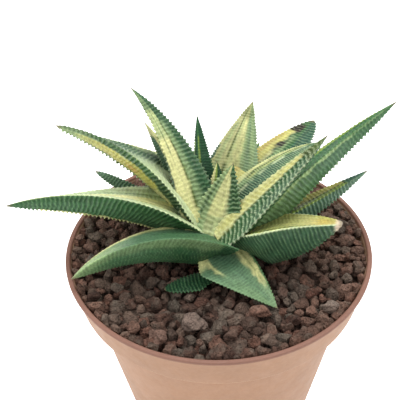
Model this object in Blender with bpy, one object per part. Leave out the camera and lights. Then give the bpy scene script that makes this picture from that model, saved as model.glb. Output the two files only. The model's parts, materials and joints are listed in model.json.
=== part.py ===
"""Potted haworthia.

A washboard-leaved haworthia with striped leaves, rooted in soil under a bed of
lava gravel, in a round plastic nursery pot.  Units are metres, +Z is up, and
the origin is the centre of the underside of the pot.  The pieces are the pot,
the soil, the gravel bed, the larger loose stones, the stem with its roots, and
the leaves, each a closed solid with a small clearance to its neighbours.
"""

from dataclasses import dataclass
import math

import bmesh
import bpy
import numpy as np
from mathutils import Vector, noise

MM = 0.001
CLEARANCE = 0.3 * MM            # gap kept between pieces that touch

# Pot: a tapered cup whose top steps out into a deeper rim band with a lip.
POT_HEIGHT = 92.0 * MM
LIP_RADIUS = 52.5 * MM
LIP_WIDTH = 1.5 * MM
LIP_HEIGHT = 1.2 * MM
BAND_TOP_RADIUS = 51.9 * MM
BAND_FOOT_RADIUS = 49.6 * MM
BAND_DEPTH = 13.2 * MM          # from the top of the lip to the foot of the band
WALL_TOP_RADIUS = 46.0 * MM
BASE_RADIUS = 33.0 * MM
WALL = 1.3 * MM
FLOOR = 1.8 * MM
EDGE = 0.6 * MM                 # rounding of the moulded edges
POT_SEGMENTS = 48
DRAIN_HOLES = 6
DRAIN_RADIUS = 3.5 * MM
DRAIN_CIRCLE = 22.0 * MM

# Filling
SOIL_TOP = 72.0 * MM
GRAVEL_TOP = 90.2 * MM          # mean height of the gravel bed
GRAVEL_EDGE_DROP = 0.3 * MM     # the bed falls this much where it meets the wall
GRAVEL_BUMP = 0.5 * MM
GRAVEL_BUMP_SCALE = 90.0        # waves per metre
GRAVEL_RINGS = (0.94, 0.8, 0.64, 0.48, 0.32, 0.2)
FILL_SEGMENTS = 36
STONE_LUMPS = 0.22
STONE_LUMP_SCALE = 1.6          # lumps over the radius of a stone
STONE_SEED_STEP = 7.0           # distance between the noise of two stones
STONE_SINK = 0.25               # share of its half height that a stone sits up

# Stem and roots
STEM_RADIUS = 5.4 * MM
CROWN_RADIUS = 2.6 * MM
STEM_FOOT = 62.0 * MM
CROWN_TOP = 96.5 * MM
CROWN_CENTRE = (-2.0 * MM, -2.0 * MM)
CROWN_TAPER = 3.0 * MM          # height over which the stem narrows to its top
CROWN_FLARE = 0.8 * MM
CROWN_INSET = 1.0 * MM
STEM_TAPER = 6.0 * MM           # height over which the foot swells to full width
STEM_FOOT_SHARE = 0.6           # width of the foot, against full
STEM_SEGMENTS = 16
ROOTS = 6
ROOT_TURN = 0.3                 # radians from +X to the first root
ROOT_START = 1.5 * MM           # distance from the stem's axis
ROOT_START_RISE = 3.0 * MM      # height above the foot of the stem
ROOT_RADIUS = 1.5 * MM
ROOT_TAPER = 0.7                # share of its thickness that a root loses
ROOT_REACH = 26.0 * MM
ROOT_REACH_POWER = 0.8
ROOT_DROP = 34.0 * MM
ROOT_DROP_POWER = 1.4
ROOT_SWAY = 2.5 * MM
ROOT_WAVES = 1.1
ROOT_STATIONS = 9
ROOT_SIDES = 6

# Leaves: stations along the leaf and points round its section.
LEAF_STATIONS = 13
MIDLINE_STATIONS = 61           # fine steps along which the midline is summed
KEEL_POINT = 0.9                # lower makes the end of the keel blunter
NECK_REACH = 0.3                # share of the length over which the base swells
NECK_WIDTH = 0.4                # width and depth at the very base, against full
NECK_DEPTH = 0.35
TIP_HALF_WIDTH = 0.25 * MM
TIP_HALF_DEPTH = 0.15 * MM
UPPER_POINTS = (-1.0, -0.4, 0.4, 1.0)
LOWER_POINTS = (1.0, 0.5, 0.0, -0.5, -1.0)

LEAF_GREEN = (0.06, 0.16, 0.06)
LEAF_STRIPED = (0.24, 0.30, 0.10)
LEAF_CREAM = (0.55, 0.52, 0.25)
LAVA_BROWN = (0.10, 0.055, 0.04)
LAVA_GREY = (0.26, 0.21, 0.19)


@dataclass(frozen=True)
class Leaf:
    """One leaf: lengths in millimetres, angles in degrees.

    The midline starts at base and turns from its first azimuth and rise to its
    last ones; bend below 1 makes it turn early.  Roll lifts the right margin.
    """

    name: str
    base: tuple
    azimuth: float
    sweep: float
    rise: tuple
    length: float
    width: float
    depth: float
    roll: tuple = (0.0, 0.0)
    bend: float = 1.0
    taper: float = 1.25          # higher keeps the leaf wide further out
    point: float = 0.95          # lower makes the end blunter
    keel_taper: float = 1.7
    belly: float = 1.35          # 1 is a sharp keel, 2 a round back
    hollow: float = 0.12         # dish of the upper face, of the half width
    colour: tuple = LEAF_GREEN


# From the heart of the rosette outwards: an older leaf gives way to a younger.
LEAVES = (
    Leaf("leaf_heart_front", (-2, -7, 99.5), 74, -20, (34, 58), 26.5, 19, 5,
         taper=1.7, point=1.0, colour=LEAF_CREAM),
    Leaf("leaf_heart_small", (-2, 0, 97), 80, 0, (50, 60), 24, 9, 4, colour=LEAF_STRIPED),
    Leaf("leaf_heart_dark", (1, 2, 97), 92, 2, (50, 52), 23, 11, 4),
    Leaf("leaf_rear_narrow", (-3, 3, 98), 98, 0, (55, 46), 38, 11, 5),
    Leaf("leaf_rear_upright", (1, 8.5, 95), 71, -8, (46, 40), 44.7, 25.4, 6,
         taper=1.6, point=1.0, colour=LEAF_CREAM),
    Leaf("leaf_front_right_striped", (0, -8, 99.5), 20, 4, (41, 37), 49.5, 15, 6,
         roll=(6, 6), taper=1.5, colour=LEAF_CREAM),
    Leaf("leaf_left_tall", (-4, -2.6, 98.2), 110, 26, (56, 19), 59.5, 16, 7, colour=LEAF_CREAM),
    Leaf("leaf_right_ridged", (0.5, -1, 97.5), 36, 0, (50, -6.5), 51, 17, 7, roll=(-3, 7),
         taper=1.85, colour=LEAF_STRIPED),
    Leaf("leaf_right_longest", (4, -3, 97), 25, 0, (41, 18), 72.5, 18, 9.5, roll=(32, 30)),
    Leaf("leaf_left_raised", (1, 7, 94.5), 130, 51, (69, 16), 68, 29.5, 15, roll=(-5, -43),
         bend=0.4, taper=2.2, point=0.85, keel_taper=0.9, colour=LEAF_STRIPED),
    Leaf("leaf_left_tall_rear", (-5, 3, 97), 122, 8, (40, 32), 43, 12, 6, colour=LEAF_CREAM),
    Leaf("leaf_upper_right_blunt", (1, 3, 100), 42, 10, (27, 5), 55, 19.5, 6,
         roll=(-13, 11), taper=3.3, point=0.73, colour=LEAF_STRIPED),
    Leaf("leaf_left_long", (-5, 7.3, 96.5), 189, 4, (60, -7), 69.5, 29.3, 11.3,
         roll=(0, -48), bend=0.5, taper=1.0, keel_taper=1.65),
    Leaf("leaf_right_rear", (3, -1, 95), 11, 12, (20, 15), 54, 14, 9,
         roll=(20, 20), colour=LEAF_STRIPED),
    Leaf("leaf_right_broad", (3, -5, 99.5), 353, -8, (30, 0), 39, 17.5, 13.5,
         roll=(13, 30), taper=6.0, point=0.5, keel_taper=3.4, belly=1.8),
    Leaf("leaf_front_left_arching", (4, -7, 98), 185, 21, (33, -38), 57, 22.5, 10,
         roll=(-26, -31), taper=1.7, keel_taper=2.4),
    Leaf("leaf_front_drooping", (-4, -7.5, 96.5), 315, 0, (-2, -21), 32.5, 24, 6,
         roll=(0, 2), taper=1.4),
    Leaf("leaf_left_short", (-7, 8, 92), 158, 0, (23, 18), 42.5, 6.0, 3.8, taper=5.0, point=0.7),
    Leaf("leaf_low_shaded", (-2.5, -18.2, 92), 194, 0, (-3, -3), 15.5, 6.8, 3, roll=(6, 6),
         taper=2.4, point=0.6),
    Leaf("leaf_back_middle", (1, 6, 94), 66, 0, (22, 12), 41, 15, 7, colour=LEAF_STRIPED),
    Leaf("leaf_back_left", (-5, 4, 94), 128, 0, (24, 18), 39, 14, 6),
    Leaf("leaf_back_right", (3, 4, 93), 40, 0, (12, 4), 42, 14, 6),
    Leaf("leaf_back_low", (-2, 6, 93), 98, 0, (14, 8), 33, 14, 6),
)

# Larger loose stones: place on the bed and size in millimetres, seed, colour.
STONES = (
    ("stone_pale_brown", (-7.4, -36.4), (12.0, 10.8, 7.6), 1, LAVA_GREY),
    ("stone_grey_brown", (-18.2, -41.6), (9.0, 7.6, 6.0), 2, LAVA_GREY),
    ("stone_pale_grey", (33.8, -30.4), (8.4, 6.4, 5.2), 3, LAVA_GREY),
    ("stone_front_flat", (13.0, -32.0), (9.2, 7.4, 5.4), 4, LAVA_BROWN),
    ("stone_front_left", (-17.0, -33.4), (6.6, 7.2, 5.2), 5, LAVA_BROWN),
    ("stone_shaded", (-18.6, -13.2), (7.6, 6.6, 4.6), 6, LAVA_BROWN),
    ("stone_left_round", (-32.6, -20.6), (5.8, 5.4, 4.6), 7, LAVA_BROWN),
    ("stone_left_small", (-28.0, -27.4), (5.2, 4.6, 4.2), 8, LAVA_BROWN),
    ("stone_right_mid", (20.4, -23.6), (5.4, 5.2, 4.6), 9, LAVA_BROWN),
    ("stone_right_tall", (29.8, -24.2), (5.6, 5.4, 5.2), 10, LAVA_BROWN),
    ("stone_right_low", (23.0, -35.6), (6.2, 4.8, 4.4), 11, LAVA_BROWN),
    ("stone_front_mid", (3.4, -41.0), (7.0, 5.4, 4.6), 12, LAVA_BROWN),
    ("stone_front_right", (14.0, -42.2), (6.2, 4.8, 4.2), 13, LAVA_BROWN),
    ("stone_left_edge", (-39.8, -24.2), (6.4, 5.4, 4.8), 14, LAVA_BROWN),
    ("stone_far_left", (-43.2, -7.4), (6.6, 6.4, 5.0), 15, LAVA_GREY),
    ("stone_left_rim", (-32.0, -34.2), (6.0, 5.2, 4.4), 16, LAVA_BROWN),
    ("stone_left_dark", (-26.4, -38.0), (6.4, 5.8, 4.8), 17, LAVA_BROWN),
    ("stone_right_edge", (42.6, -14.2), (5.4, 5.2, 4.6), 18, LAVA_BROWN),
    ("stone_right_near", (31.0, -13.0), (5.6, 5.0, 3.6), 19, LAVA_BROWN),
    ("stone_back_left", (-30.0, 30.0), (6.8, 5.8, 4.8), 20, LAVA_BROWN),
    ("stone_back", (2.0, 42.0), (7.2, 5.6, 5.0), 21, LAVA_BROWN),
    ("stone_back_right", (31.0, 31.0), (6.4, 6.0, 4.8), 22, LAVA_GREY),
    ("stone_back_mid", (-14.0, 34.0), (5.8, 5.2, 4.4), 23, LAVA_BROWN),
    ("stone_right_back", (43.0, 6.0), (6.0, 5.4, 4.6), 24, LAVA_BROWN),
)


def clear_scene():
    """Remove every object of the open file."""
    for item in list(bpy.data.objects):
        bpy.data.objects.remove(item, do_unlink=True)


def material(name, colour, roughness):
    """Return a plain Principled material."""
    finish = bpy.data.materials.new(name)
    finish.use_nodes = True
    shader = finish.node_tree.nodes["Principled BSDF"]
    shader.inputs["Base Color"].default_value = (*colour, 1.0)
    shader.inputs["Roughness"].default_value = roughness
    shader.inputs["Metallic"].default_value = 0.0
    return finish


def add_object(name, mesh, finish=None):
    """Link a mesh into the scene as a named object."""
    item = bpy.data.objects.new(name, mesh)
    bpy.context.scene.collection.objects.link(item)
    if finish is not None:
        mesh.materials.append(finish)
    return item


def mesh_from(name, points, faces):
    """Make a mesh whose faces all point out of the closed shape."""
    work = bmesh.new()
    corners = [work.verts.new(point) for point in points]
    for face in faces:
        work.faces.new([corners[i] for i in face])
    bmesh.ops.triangulate(work, faces=work.faces)
    bmesh.ops.recalc_face_normals(work, faces=work.faces)
    mesh = bpy.data.meshes.new(name)
    work.to_mesh(mesh)
    work.free()
    return mesh


def turned_mesh(name, profile, segments, centre=(0.0, 0.0)):
    """Spin a closed (radius, height) profile about the vertical axis."""
    work = bmesh.new()
    ring = [work.verts.new((radius, 0.0, height)) for radius, height in profile]
    edges = [work.edges.new((ring[i], ring[i + 1])) for i in range(len(ring) - 1)]
    bmesh.ops.spin(work, geom=ring + edges, cent=(0, 0, 0), axis=(0, 0, 1),
                   angle=2 * math.pi, steps=segments, use_duplicate=False)
    bmesh.ops.remove_doubles(work, verts=work.verts, dist=0.001 * MM)
    bmesh.ops.recalc_face_normals(work, faces=work.faces)
    bmesh.ops.translate(work, verts=work.verts, vec=(*centre, 0.0))
    mesh = bpy.data.meshes.new(name)
    work.to_mesh(mesh)
    work.free()
    return mesh


def smooth(item, angle=40.0):
    """Shade round faces smooth and keep the real edges sharp."""
    item.data.shade_smooth()
    item.data.set_sharp_from_angle(angle=math.radians(angle))


def largest_body(mesh):
    """Delete every loose body of a mesh except the biggest one."""
    work = bmesh.new()
    work.from_mesh(mesh)
    unseen = set(work.faces)
    bodies = []
    while unseen:
        body, front = set(), [unseen.pop()]
        while front:
            face = front.pop()
            body.add(face)
            near = {other for edge in face.edges for other in edge.link_faces}
            near &= unseen
            unseen -= near
            front.extend(near)
        bodies.append(body)
    bodies.sort(key=lambda body: sum(face.calc_area() for face in body))
    spare = [face for body in bodies[:-1] for face in body]
    if spare:
        bmesh.ops.delete(work, geom=spare, context="FACES")
        loose = [vert for vert in work.verts if not vert.link_faces]
        bmesh.ops.delete(work, geom=loose, context="VERTS")
    work.to_mesh(mesh)
    work.free()


def boxes_meet(first, second):
    """Tell whether the bounding boxes of two meshes meet."""
    low_a, high_a = extent(first)
    low_b, high_b = extent(second)
    return bool(np.all(low_a <= high_b) and np.all(low_b <= high_a))


def extent(mesh):
    """Return the lowest and highest corner of a mesh."""
    points = np.empty(len(mesh.vertices) * 3)
    mesh.vertices.foreach_get("co", points)
    points = points.reshape(-1, 3)
    return points.min(axis=0), points.max(axis=0)


def carve(item, tools, operation="DIFFERENCE"):
    """Cut the tool meshes out of an object, or join them to it, one by one."""
    helpers = []
    for tool in tools:
        helper = add_object(f"{item.name}_tool", tool)
        helper.hide_render = True
        helper.display_type = "WIRE"
        cut = item.modifiers.new("cut", "BOOLEAN")
        cut.operation = operation
        cut.solver = "EXACT"
        cut.object = helper
        helpers.append(helper)
    graph = bpy.context.evaluated_depsgraph_get()
    result = bpy.data.meshes.new_from_object(item.evaluated_get(graph))
    item.modifiers.clear()
    item.data = result
    for helper in helpers:
        bpy.data.objects.remove(helper, do_unlink=True)


def tidy_mesh(mesh, distances=(0.05 * MM, 0.02 * MM, 0.006 * MM, 0.002 * MM)):
    """Merge close points, by the widest distance that leaves the mesh closed."""
    for distance in distances:
        work = bmesh.new()
        work.from_mesh(mesh)
        bmesh.ops.triangulate(work, faces=work.faces)
        bmesh.ops.remove_doubles(work, verts=work.verts, dist=distance)
        bmesh.ops.dissolve_degenerate(work, edges=work.edges, dist=distance)
        bmesh.ops.triangulate(work, faces=work.faces)
        bmesh.ops.recalc_face_normals(work, faces=work.faces)
        closed = all(edge.is_manifold and edge.is_contiguous for edge in work.edges)
        if closed and all(vert.is_manifold for vert in work.verts):
            work.to_mesh(mesh)
            work.free()
            return
        work.free()


# ---------------------------------------------------------------- pot

def wall_radius(height):
    """Return the outer radius of the tapered wall under the band."""
    foot = POT_HEIGHT - BAND_DEPTH
    return BASE_RADIUS + (WALL_TOP_RADIUS - BASE_RADIUS) * height / foot


def outer_profile():
    """Return the outside of the pot, from the axis under it up to the lip."""
    foot = POT_HEIGHT - BAND_DEPTH
    lip_foot = POT_HEIGHT - LIP_HEIGHT
    return [
        (0.0, 0.0),
        (BASE_RADIUS - EDGE, 0.0),
        (BASE_RADIUS, EDGE),
        (wall_radius(foot), foot),
        (BAND_FOOT_RADIUS - EDGE, foot),
        (BAND_FOOT_RADIUS, foot + EDGE),
        (BAND_TOP_RADIUS, lip_foot),
        (LIP_RADIUS - 0.3 * EDGE, lip_foot + 0.2 * EDGE),
        (LIP_RADIUS, lip_foot + EDGE),
        (LIP_RADIUS, POT_HEIGHT - EDGE),
        (LIP_RADIUS - EDGE, POT_HEIGHT),
        (LIP_RADIUS - LIP_WIDTH + EDGE, POT_HEIGHT),
    ]


def inner_profile():
    """Return the inside of the pot, from the lip down to the rim of the floor."""
    foot = POT_HEIGHT - BAND_DEPTH
    return [
        (LIP_RADIUS - LIP_WIDTH, POT_HEIGHT - EDGE),
        (BAND_FOOT_RADIUS - WALL, foot + WALL + EDGE),
        (wall_radius(foot) - WALL, foot - EDGE),
        (BASE_RADIUS - WALL + EDGE, FLOOR + EDGE),
        (BASE_RADIUS - WALL, FLOOR),
    ]


def drain_cutters():
    """Return upright cylinders that pierce the floor of the pot."""
    cutters = []
    for number in range(DRAIN_HOLES):
        turn = 2 * math.pi * (number + 0.5) / DRAIN_HOLES
        centre = (DRAIN_CIRCLE * math.cos(turn), DRAIN_CIRCLE * math.sin(turn))
        profile = [(0.0, -FLOOR), (DRAIN_RADIUS, -FLOOR),
                   (DRAIN_RADIUS, 2 * FLOOR), (0.0, 2 * FLOOR)]
        cutters.append(turned_mesh("drain", profile, 12, centre))
    return cutters


def make_pot():
    """Build the moulded pot with its drain holes."""
    plastic = material("terracotta_plastic", (0.55, 0.30, 0.21), 0.5)
    section = outer_profile() + inner_profile() + [(0.0, FLOOR)]
    pot = add_object("pot", turned_mesh("pot", section, POT_SEGMENTS), plastic)
    carve(pot, drain_cutters())
    smooth(pot)
    return pot


# ---------------------------------------------------------------- filling

def inner_radius(height):
    """Return the inner radius of the pot at a height, less the clearance."""
    radii, heights = zip(*reversed(inner_profile()))
    flat = math.cos(math.pi / POT_SEGMENTS)     # middle of a facet against its corner
    return float(np.interp(height, heights, radii)) * flat - CLEARANCE


def make_soil(plant_tools):
    """Build the potting soil, hollowed out round the stem and roots."""
    floor = FLOOR + CLEARANCE
    profile = [
        (0.0, floor),
        (inner_radius(floor) - EDGE, floor),
        (inner_radius(floor + 3 * EDGE), floor + 3 * EDGE),
        (inner_radius(SOIL_TOP), SOIL_TOP),
        (0.0, SOIL_TOP),
    ]
    peat = material("potting_soil", (0.045, 0.03, 0.022), 0.95)
    soil = add_object("potting_soil", turned_mesh("soil", profile, FILL_SEGMENTS), peat)
    carve(soil, plant_tools)
    tidy_mesh(soil.data)
    smooth(soil)
    return soil


def bed_height(x, y):
    """Return the height of the gravel bed, raised and lowered by slow noise."""
    return GRAVEL_TOP + GRAVEL_BUMP * noise.noise(Vector((x, y, 0.0)) * GRAVEL_BUMP_SCALE)


def gravel_rings(turns):
    """Return the rings of the gravel bed, from its foot up and in to the middle."""
    foot = POT_HEIGHT - BAND_DEPTH
    shoulder = foot + WALL + EDGE
    brink = GRAVEL_TOP - GRAVEL_EDGE_DROP
    rings = []
    for height in (SOIL_TOP + CLEARANCE, foot - EDGE, shoulder, brink):
        rings.append([(inner_radius(height), height)] * len(turns))
    for share in GRAVEL_RINGS:
        radius = share * inner_radius(brink)
        rings.append([(radius, bed_height(radius * math.cos(turn), radius * math.sin(turn)))
                      for turn in turns])
    return rings


def gravel_mesh():
    """Return the gravel bed: a bumpy top over the stepped side of the pot."""
    turns = [2 * math.pi * k / FILL_SEGMENTS for k in range(FILL_SEGMENTS)]
    rings = gravel_rings(turns)
    points = [(0.0, 0.0, SOIL_TOP + CLEARANCE)]
    for ring in rings:
        points += [(radius * math.cos(turn), radius * math.sin(turn), height)
                   for (radius, height), turn in zip(ring, turns)]
    points.append((0.0, 0.0, bed_height(0.0, 0.0)))
    last = 1 + (len(rings) - 1) * FILL_SEGMENTS
    faces = []
    for k in range(FILL_SEGMENTS):
        after = (k + 1) % FILL_SEGMENTS
        faces.append((0, 1 + after, 1 + k))
        faces.append((len(points) - 1, last + k, last + after))
        for low in range(1, last, FILL_SEGMENTS):
            high = low + FILL_SEGMENTS
            faces.append((low + k, low + after, high + after, high + k))
    return mesh_from("gravel", points, faces)


def make_gravel(tools):
    """Build the gravel bed with a seat for the stem, the stones and the low leaves."""
    lava = material("lava_gravel", LAVA_BROWN, 0.95)
    bed = add_object("gravel_bed", gravel_mesh(), lava)
    carve(bed, [tool for tool in tools if boxes_meet(bed.data, tool)])
    largest_body(bed.data)
    tidy_mesh(bed.data)
    smooth(bed)
    return bed


def stone_mesh(name, place, size, seed, grow=0.0):
    """Return a lumpy stone, half bedded, as a noisy icosphere."""
    work = bmesh.new()
    bmesh.ops.create_icosphere(work, subdivisions=1, radius=1.0)
    half = Vector([0.5 * edge * MM for edge in size])
    x, y = place[0] * MM, place[1] * MM
    centre = Vector((x, y, GRAVEL_TOP + STONE_SINK * half.z))
    shift = Vector((STONE_SEED_STEP * seed, 0.0, 0.0))
    for vert in work.verts:
        away = vert.co.normalized()
        lump = 1.0 + STONE_LUMPS * noise.noise(away * STONE_LUMP_SCALE + shift)
        spot = Vector([away[k] * half[k] for k in range(3)]) * lump
        vert.co = centre + spot + spot.normalized() * grow
    bmesh.ops.recalc_face_normals(work, faces=work.faces)
    mesh = bpy.data.meshes.new(name)
    work.to_mesh(mesh)
    work.free()
    return mesh


def make_stones():
    """Build the larger loose stones."""
    for name, place, size, seed, colour in STONES:
        finish = material(f"{name}_lava", colour, 0.95)
        smooth(add_object(name, stone_mesh(name, place, size, seed), finish), 50.0)


# ---------------------------------------------------------------- plant

def stem_mesh(grow=0.0):
    """Return the short stem, a blunt cone that ends in the crown."""
    profile = [
        (0.0, STEM_FOOT - grow),
        (STEM_FOOT_SHARE * STEM_RADIUS + grow, STEM_FOOT - grow),
        (STEM_RADIUS + grow, STEM_FOOT + STEM_TAPER),
        (STEM_RADIUS + grow, GRAVEL_TOP),
        (CROWN_RADIUS + CROWN_FLARE + grow, CROWN_TOP - CROWN_TAPER),
        (CROWN_RADIUS - CROWN_INSET + grow, CROWN_TOP + grow),
        (0.0, CROWN_TOP + grow),
    ]
    return turned_mesh("stem", profile, STEM_SEGMENTS, CROWN_CENTRE)


def root_mesh(number, grow=0.0):
    """Return one fleshy root: a tapered tube that dives outwards."""
    turn = 2 * math.pi * number / ROOTS + ROOT_TURN
    out = np.array([math.cos(turn), math.sin(turn), 0.0])
    side = np.array([-math.sin(turn), math.cos(turn), 0.0])
    start = np.array([*CROWN_CENTRE, STEM_FOOT + ROOT_START_RISE])
    share = np.linspace(0.0, 1.0, ROOT_STATIONS)
    reach = ROOT_START + (ROOT_REACH - ROOT_START) * share ** ROOT_REACH_POWER
    drop = -ROOT_DROP * share ** ROOT_DROP_POWER
    sway = ROOT_SWAY * np.sin(2 * math.pi * ROOT_WAVES * share + number)
    path = (start + reach[:, None] * out + sway[:, None] * side
            + drop[:, None] * np.array([0.0, 0.0, 1.0]))
    radii = ROOT_RADIUS * (1.0 - ROOT_TAPER * share) + grow
    if grow:
        path[-1] += (path[-1] - path[-2]) / np.linalg.norm(path[-1] - path[-2]) * grow
    along = np.gradient(path, axis=0)
    along /= np.linalg.norm(along, axis=1)[:, None]
    across = np.cross(along, side)
    across /= np.linalg.norm(across, axis=1)[:, None]
    level = np.cross(across, along)
    turns = np.linspace(0.0, 2 * math.pi, ROOT_SIDES, endpoint=False)
    ring = (np.cos(turns)[None, :, None] * across[:, None]
            + np.sin(turns)[None, :, None] * level[:, None])
    points = (path[:, None] + radii[:, None, None] * ring).reshape(-1, 3)
    return mesh_from("root", points, tube_faces(len(path), ROOT_SIDES))


def tube_faces(stations, sides, hub=0):
    """Return the faces of a closed tube; its ends fan out from the hub point."""
    faces = []
    for station in range(stations - 1):
        for k in range(sides):
            after = (k + 1) % sides
            low, high = station * sides, (station + 1) * sides
            faces.append((low + k, low + after, high + after, high + k))
    last = (stations - 1) * sides
    for step in range(1, sides - 1):
        k, after = (hub + step) % sides, (hub + step + 1) % sides
        faces.append((hub, k, after))
        faces.append((last + hub, last + after, last + k))
    return faces


def plant_tools():
    """Return the stem and roots grown by the clearance, as cutters."""
    return [stem_mesh(CLEARANCE)] + [root_mesh(k, CLEARANCE) for k in range(ROOTS)]


def make_stem():
    """Build the stem and its roots as the one piece they grew as."""
    flesh = material("stem_and_roots", (0.36, 0.30, 0.18), 0.7)
    stem = add_object("stem_and_roots", stem_mesh(), flesh)
    carve(stem, [root_mesh(k) for k in range(ROOTS)], "UNION")
    tidy_mesh(stem.data)
    smooth(stem)
    return stem


def leaf_frame(leaf):
    """Return the midline of a leaf and its side and upward directions."""
    share = np.linspace(0.0, 1.0, MIDLINE_STATIONS)
    turned = share ** leaf.bend
    azimuth = np.radians(leaf.azimuth + leaf.sweep * turned)
    rise = np.radians(leaf.rise[0] + (leaf.rise[1] - leaf.rise[0]) * turned)
    along = np.stack([np.cos(rise) * np.cos(azimuth),
                      np.cos(rise) * np.sin(azimuth), np.sin(rise)], axis=1)
    steps = 0.5 * (along[1:] + along[:-1]) * leaf.length * MM / (len(share) - 1)
    midline = np.concatenate([np.zeros((1, 3)), np.cumsum(steps, axis=0)])
    midline += np.array(leaf.base) * MM
    level = np.stack([np.sin(azimuth), -np.cos(azimuth), 0.0 * azimuth], axis=1)
    upright = np.cross(level, along)
    roll = np.radians(leaf.roll[0] + (leaf.roll[1] - leaf.roll[0]) * share)[:, None]
    side = level * np.cos(roll) + upright * np.sin(roll)
    up = upright * np.cos(roll) - level * np.sin(roll)
    return share, midline, along, side, up


def leaf_mesh(leaf, grow=0.0):
    """Return a leaf: a dished face over a keeled back, drawn in at both ends."""
    share, midline, along, side, up = leaf_frame(leaf)
    swell = np.clip(share / NECK_REACH, 0.0, 1.0)
    swell = swell * swell * (3.0 - 2.0 * swell)
    width = 0.5 * leaf.width * MM * (1.0 - share ** leaf.taper) ** leaf.point
    width = width * (NECK_WIDTH + (1.0 - NECK_WIDTH) * swell)
    depth = leaf.depth * MM * (1.0 - share ** leaf.keel_taper) ** KEEL_POINT
    depth = depth * (NECK_DEPTH + (1.0 - NECK_DEPTH) * swell)
    width = np.maximum(width, TIP_HALF_WIDTH) + grow
    depth = np.maximum(depth, TIP_HALF_DEPTH)
    upper = np.array(UPPER_POINTS)
    lower = np.array(LOWER_POINTS)
    across = np.concatenate([upper, lower])
    lift = np.concatenate([
        -leaf.hollow * width[:, None] * (1.0 - upper ** 2)[None] + TIP_HALF_DEPTH + grow,
        -depth[:, None] * (1.0 - np.abs(lower) ** leaf.belly)[None] - TIP_HALF_DEPTH - grow,
    ], axis=1)
    points = (midline[:, None] + side[:, None] * (width[:, None] * across[None])[..., None]
              + up[:, None] * lift[..., None])
    picked = np.round(np.linspace(0, len(share) - 1, LEAF_STATIONS)).astype(int)
    points = points[picked]
    points[0] -= along[0] * grow
    points[-1] += along[-1] * grow
    keel = len(upper) + len(lower) // 2
    faces = tube_faces(len(picked), len(across), keel)
    return mesh_from(leaf.name, points.reshape(-1, 3), faces)


def make_leaves():
    """Build the leaves, each cut back round the stem and the younger leaves."""
    keep_out = [stem_mesh(CLEARANCE)]
    for leaf in LEAVES:
        finish = material(f"{leaf.name}_skin", leaf.colour, 0.5)
        item = add_object(leaf.name, leaf_mesh(leaf), finish)
        carve(item, [tool for tool in keep_out if boxes_meet(item.data, tool)])
        largest_body(item.data)
        tidy_mesh(item.data)
        smooth(item, 60.0)
        keep_out.append(leaf_mesh(leaf, CLEARANCE))


def build():
    """Build every piece of the potted plant."""
    clear_scene()
    make_pot()
    make_soil(plant_tools())
    make_stem()
    make_stones()
    seats = [stem_mesh(CLEARANCE)]
    seats += [stone_mesh(name, place, size, seed, CLEARANCE)
              for name, place, size, seed, _ in STONES]
    seats += [leaf_mesh(leaf, CLEARANCE) for leaf in LEAVES]
    make_gravel(seats)
    make_leaves()


build()
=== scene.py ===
"""Looks of the potted haworthia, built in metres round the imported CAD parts.

The pot is turned from a profile, the lava gravel is scattered grain by grain, and every leaf
is a ridged surface carried along a curved midline. Lengths in the tables are millimetres.
"""
import json
import logging
import math
from dataclasses import dataclass, field
from enum import Enum

import bpy
import numpy as np
from mathutils import Matrix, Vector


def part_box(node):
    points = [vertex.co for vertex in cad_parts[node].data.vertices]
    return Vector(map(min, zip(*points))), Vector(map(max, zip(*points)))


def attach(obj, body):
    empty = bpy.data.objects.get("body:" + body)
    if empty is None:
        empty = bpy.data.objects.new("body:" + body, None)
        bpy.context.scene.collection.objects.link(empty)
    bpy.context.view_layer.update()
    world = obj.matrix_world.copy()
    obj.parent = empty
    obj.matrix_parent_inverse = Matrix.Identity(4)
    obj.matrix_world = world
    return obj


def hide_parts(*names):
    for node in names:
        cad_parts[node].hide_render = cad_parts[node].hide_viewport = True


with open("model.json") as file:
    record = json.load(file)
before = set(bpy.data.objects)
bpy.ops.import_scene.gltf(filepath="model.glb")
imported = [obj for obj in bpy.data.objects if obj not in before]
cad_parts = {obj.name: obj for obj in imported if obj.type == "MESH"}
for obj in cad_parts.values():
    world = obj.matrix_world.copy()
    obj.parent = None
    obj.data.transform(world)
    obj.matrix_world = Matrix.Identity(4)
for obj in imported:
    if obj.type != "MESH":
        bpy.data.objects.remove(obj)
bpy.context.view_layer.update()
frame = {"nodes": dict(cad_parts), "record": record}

MM = 0.001
BODY = "root"
LOG = logging.getLogger("haworthia")


# ---------------------------------------------------------------- small formulas

def smooth(value: np.ndarray) -> np.ndarray:
    """Smooth step of a value held to 0..1: 3 t^2 - 2 t^3."""
    held = np.clip(value, 0.0, 1.0)
    return held * held * (3.0 - 2.0 * held)


def wobble(across: np.ndarray, along: np.ndarray, seed: int) -> np.ndarray:
    """Soft irregular waves of two parameters.

    The sum of six sine waves in seeded directions, sum of sin(a across + b along + c) / 3,
    which stays mostly within -1 to 1.

    Args:
        across: First parameter, one wave or so per unit.
        along: Second parameter, one wave or so per unit.
        seed: Picks the directions and phases.

    Returns:
        The waves, in the parameters' shape.
    """
    picks = np.random.default_rng(seed)
    total = 0.0
    for turn, pace, phase in zip(picks.uniform(0, math.tau, 6), picks.uniform(3.0, 9.0, 6),
                                 picks.uniform(0, math.tau, 6)):
        total = total + np.sin(pace * (math.cos(turn) * across + math.sin(turn) * along) + phase)
    return total / 3.0


def linear(red: int, green: int, blue: int) -> tuple[float, float, float]:
    """Linear light of a display colour: ((c + 0.055) / 1.055) ^ 2.4, or c / 12.92 when dark."""
    shares = (value / 255.0 for value in (red, green, blue))
    return tuple(c / 12.92 if c <= 0.04045 else ((c + 0.055) / 1.055) ** 2.4 for c in shares)


def unit(vectors: np.ndarray) -> np.ndarray:
    """Vectors divided by their lengths along the last axis."""
    return vectors / np.maximum(np.linalg.norm(vectors, axis=-1, keepdims=True), 1e-12)


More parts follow.
